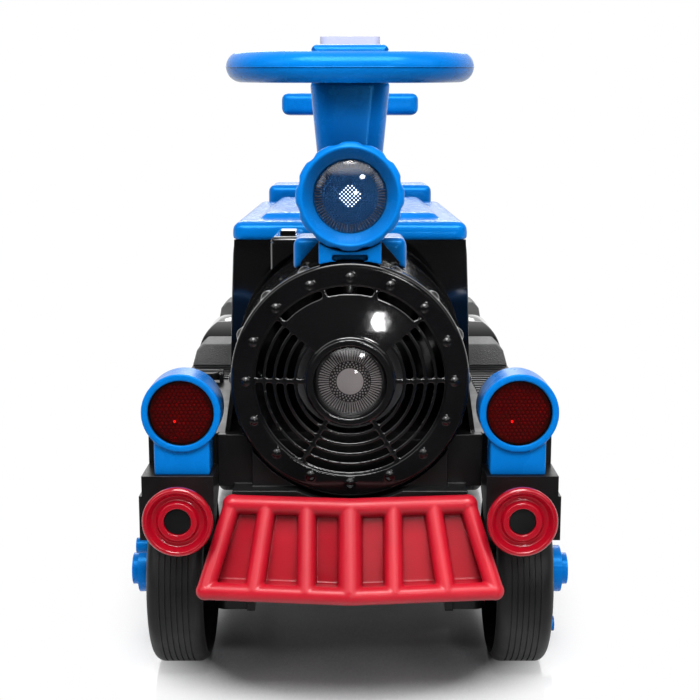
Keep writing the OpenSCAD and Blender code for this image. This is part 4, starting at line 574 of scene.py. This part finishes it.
def centre_lamp():
    """Smoky reflector with ribs at its edge, three rings of dots and a plain middle; ribs, dots and middle are
    painted pale and the back dark, as painted light and painted shade.
    """
    bulge, gap, margin = 5.6 * MM, 1.6 * MM, 0.9 * MM
    front, radius, depth = lens_dome("centre_lamp_lens", "centre_lamp_dome", bulge, clear_lens)
    place = front + Y_AXIS * (depth + gap)
    reach = radius - margin
    bm = bmesh.new()
    relief_disc(bm, place, reach, depth=1 * MM, steps=96, rings=4)
    piece(bm, "centre_lamp_back", "chassis", smoke_dark)
    bm = bmesh.new()
    spokes(bm, place, inner=0.58 * radius, outer=reach, count=68, share=0.5, rise=0.9 * MM)
    piece(bm, "centre_lamp_ribs", "chassis", smoke_insert)
    bm = bmesh.new()
    middle = 0.37 * radius
    relief_disc(bm, place, middle, depth=0.5 * MM, steps=72, rings=8, rise=0.5 * MM)
    dot_r, dot_count = 0.55 * MM, 30
    first_gap, row_pitch = 1.1 * MM, 1.5 * MM
    for row in range(3):
        r = middle + first_gap + row_pitch * row
        turns = [(k + row / 2) * math.tau / dot_count for k in range(dot_count)]
        beads(bm, [place + r * Vector((math.cos(a), 0, math.sin(a))) for a in turns], dot_r)
    piece(bm, "centre_lamp_dots", "chassis", smoke_insert)


def headlight():
    """Dark blue reflector with ribs at its edge, fine dots and a lit square of diodes; the ribs are painted pale,
    a painted sheen.
    """
    bulge, gap, margin = 5.4 * MM, 1.4 * MM, 0.5 * MM
    front, radius, depth = lens_dome("headlight_lens", "headlight_dome", bulge, clear_lens)
    place = front + Y_AXIS * (depth + gap)
    reach = radius - margin
    lit_r, dots_r = 7.4 * MM, 0.74 * radius
    bm = bmesh.new()
    relief_disc(bm, place, reach, depth=1 * MM, steps=96, rings=4)
    dots = [(x, z) for x, z in hex_grid(dots_r, pitch=1.9 * MM) if math.hypot(x, z) > lit_r]
    beads(bm, [place + Vector((x, 0, z)) for x, z in dots], radius=0.6 * MM)
    piece(bm, "headlight_back", "chassis", night_insert)
    bm = bmesh.new()
    spokes(bm, place, inner=0.78 * radius, outer=reach, count=72, share=0.45, rise=0.9 * MM)
    piece(bm, "headlight_ribs", "chassis", night_pale)
    bm = bmesh.new()
    pitch, half = 1.35 * MM, 3
    line = range(-half, half + 1)
    lit = [(i, j) for i in line for j in line if abs(i) + abs(j) < 2 * half]
    beads(bm, [place + Vector(((i + j) * pitch, 0, (i - j) * pitch)) for i, j in lit], radius=0.55 * MM)
    piece(bm, "headlight_diodes", "chassis", white_led)


def side_lamp(side):
    """Red reflector of small pointed cells behind a flat red lens, with one lit diode; the cells are painted
    brighter than the back between them, as painted light and painted shade.
    """
    bulge, inset, margin = 1.2 * MM, 0.5 * MM, 0.8 * MM
    front, radius, depth = lens_dome("side_lens_" + side, "side_dome_" + side, bulge, red_lens)
    place = front + Y_AXIS * (depth - inset)
    reach = radius - margin
    bm = bmesh.new()
    relief_disc(bm, place, reach, depth=0.3 * MM, steps=48, rings=4)
    piece(bm, "side_back_" + side, "chassis", red_insert)
    bm = bmesh.new()
    cell_r, cell_rise, edge_gap = 1.15 * MM, 0.9 * MM, 1.6 * MM
    corners = [k * math.tau / 6 + math.tau / 12 for k in range(6)]
    for x, z in hex_grid(reach - edge_gap, pitch=2.9 * MM):
        base = place + Vector((x, 0, z))
        peak = bm.verts.new(base - Y_AXIS * cell_rise)
        ring = [bm.verts.new(base + cell_r * Vector((math.cos(a), 0, math.sin(a)))) for a in corners]
        for k in range(6):
            bm.faces.new((peak, ring[k], ring[(k + 1) % 6]))
    piece(bm, "side_cells_" + side, "chassis", red_cells)
    bm = bmesh.new()
    diode = Vector((-4.5 * MM, -1.3 * MM, -6 * MM))
    beads(bm, [place + diode], radius=0.8 * MM)
    piece(bm, "side_diode_" + side, "chassis", red_led)


def rim_seam():
    """Parting line of the two halves of the steering wheel's rim, a fine bead round its outer edge."""
    low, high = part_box("steering_wheel")
    ends = (high.y - low.y) / 2
    straight = (high.x - low.x) / 2 - ends
    middle = Vector((0, (low.y + high.y) / 2, low.z + RIM_R + math.sin(RIM_TILT) * (ends - RIM_R)))
    steps = 48
    path = []
    for side in (1, -1):
        for step in range(steps + 1):
            angle = math.pi * (step / steps - 0.5)
            x = side * (straight + ends * math.cos(angle))
            y = side * ends * math.sin(angle)
            path.append(middle + Vector((x, y, y * math.tan(RIM_TILT))))
    bm = bmesh.new()
    tube(bm, path, radius=0.35 * MM)
    piece(bm, "rim_seam", "steering", blue)


rim_seam()
centre_lamp()
headlight()
for lamp_side in ("left", "right"):
    side_lamp(lamp_side)


# Stage: floor, light and camera

def make_floor():
    """White sheet that keeps the object's shadow, deepened near the object by a painted shadow in its colour, and
    is as white as the background farther out.
    """
    bm = bmesh.new()
    bmesh.ops.create_grid(bm, x_segments=1, y_segments=1, size=30)
    mesh = bpy.data.meshes.new("floor")
    bm.to_mesh(mesh)
    bm.free()
    floor = bpy.data.objects.new("floor", mesh)
    bpy.context.scene.collection.objects.link(floor)
    material, tree, shader, place = new_material("floor")
    cloud = noise(tree, place, size=0.5, detail=2)
    tree.links.new(spread(tree, cloud, low=0.10, high=0.14), shader.inputs["Roughness"])
    # Painted shadow: the floor's colour darkens where the object hems it in
    painted_shadow_tone = blend_colours(tree, open_share(tree, reach=0.18, shade=FLOOR_SHADE), FLOOR_PAINTED_SHADOW, FLOOR_PALE)
    tree.links.new(painted_shadow_tone, shader.inputs["Base Color"])
    shader.inputs["IOR"].default_value = 1.8
    white = add(tree, "ShaderNodeEmission", {"Color": (*WHITE, 1)})
    level = dark_front(tree, parts_of(tree, place)["Y"], start=-0.6, end=-0.2)
    tree.links.new(level, white.inputs["Strength"])
    narrowing = (1.9, 1, 1)
    oval = add(tree, "ShaderNodeVectorMath", {1: narrowing}, operation="MULTIPLY")
    tree.links.new(place, oval.inputs[0])
    far = add(tree, "ShaderNodeVectorMath", operation="LENGTH")
    tree.links.new(oval.outputs["Vector"], far.inputs[0])
    outside = spread(tree, far.outputs["Value"], 0, 1, start=0.31, end=0.43)
    mix = add(tree, "ShaderNodeMixShader")
    tree.links.new(combine(tree, "MULTIPLY", outside, seen(tree)), mix.inputs["Fac"])
    tree.links.new(shader.outputs["BSDF"], mix.inputs[1])
    tree.links.new(white.outputs["Emission"], mix.inputs[2])
    tree.links.new(mix.outputs["Shader"], tree.nodes["Material Output"].inputs["Surface"])
    mesh.materials.append(material)


def dark_front(tree, way, start, end):
    """1 for the camera; gloss and glass see the dark side of the studio, where way falls below end."""
    path = add(tree, "ShaderNodeLightPath")
    dark = 0.06
    return combine(tree, "MAXIMUM", path.outputs["Is Camera Ray"], spread(tree, way, dark, 1, start, end))


def front_softbox(tree, along, up):
    """Strength of a wide soft box above the camera, which only gloss and glass see."""
    path = add(tree, "ShaderNodeLightPath")
    full = 2.5
    strength = spread(tree, path.outputs["Is Camera Ray"], full, 0, start=0, end=1)
    low_edge = spread(tree, up, 0, 1, start=0.45, end=0.58)
    high_edge = spread(tree, up, 1, 0, start=0.75, end=0.88)
    back_edge = spread(tree, along, 1, 0, start=-0.5, end=-0.2)
    for part in (low_edge, high_edge, back_edge):
        strength = combine(tree, "MULTIPLY", strength, part)
    return strength


def seen(tree):
    """1 for rays from the camera, from gloss and through glass."""
    path = add(tree, "ShaderNodeLightPath").outputs
    bright = combine(tree, "MAXIMUM", path["Is Glossy Ray"], path["Is Transmission Ray"])
    return combine(tree, "MAXIMUM", bright, path["Is Camera Ray"])


def make_world():
    """White for the camera, a studio with a dark front for gloss and glass, and light that falls from above."""
    world = bpy.data.worlds.new("studio")
    bpy.context.scene.world = world
    world.use_nodes = True
    tree = world.node_tree
    light = tree.nodes["Background"]
    light.inputs["Color"].default_value = (*WHITE, 1)
    shown = add(tree, "ShaderNodeBackground", {"Color": (*WHITE, 1)})
    way = parts_of(tree, add(tree, "ShaderNodeTexCoord").outputs["Generated"])
    level_light, top_light = 0.08, 0.50
    tree.links.new(spread(tree, way["Z"], level_light, top_light, 0, 1), light.inputs["Strength"])
    studio = dark_front(tree, way["Y"], start=-0.2, end=0.5)
    softbox = front_softbox(tree, way["Y"], way["Z"])
    tree.links.new(combine(tree, "MAXIMUM", studio, softbox), shown.inputs["Strength"])
    mix = add(tree, "ShaderNodeMixShader")
    tree.links.new(seen(tree), mix.inputs["Fac"])
    tree.links.new(light.outputs["Background"], mix.inputs[1])
    tree.links.new(shown.outputs["Background"], mix.inputs[2])
    tree.links.new(mix.outputs["Shader"], tree.nodes["World Output"].inputs["Surface"])


def make_lamp(name, place, target, size, watts):
    data = bpy.data.lights.new(name, "AREA")
    data.shape = "ELLIPSE"
    data.size, data.size_y = size
    data.energy = watts
    lamp = bpy.data.objects.new(name, data)
    bpy.context.scene.collection.objects.link(lamp)
    lamp.location = place
    lamp.rotation_euler = (Vector(target) - Vector(place)).to_track_quat("-Z", "Y").to_euler()


def make_camera():
    data = bpy.data.cameras.new("camera")
    data.sensor_width = CAMERA_SENSOR
    data.lens = CAMERA_LENS
    camera = bpy.data.objects.new("camera", data)
    bpy.context.scene.collection.objects.link(camera)
    camera.location = CAMERA_PLACE
    camera.rotation_euler = (CAMERA_TILT, 0, 0)
    bpy.context.scene.camera = camera


# Name, place, target, size and watts
LAMPS = [
    ("top_box", (0.0, -1.25, 2.0), (0, -0.1, 0.2), (1.3, 0.9), 50),
    ("left_box", (-1.6, -1.5, 1.2), (0, 0, 0.25), (0.9, 1.2), 4),
    ("right_box", (1.6, -1.5, 1.2), (0, 0, 0.25), (0.9, 1.2), 4),
    ("back_box", (0, 2.0, 1.3), (0, 0.2, 0.25), (1.4, 0.9), 12),
    ("glint_box", (0.56, -1.86, 1.14), (0, -0.28, 0.3), (0.25, 0.20), 3),
    ("key_box", (0.26, -2.1, 0.42), (0, -0.28, 0.25), (0.15, 0.15), 2.0),
]

make_floor()
make_world()
for lamp_values in LAMPS:
    make_lamp(*lamp_values)
make_camera()
bpy.context.scene.view_settings.view_transform = "Standard"
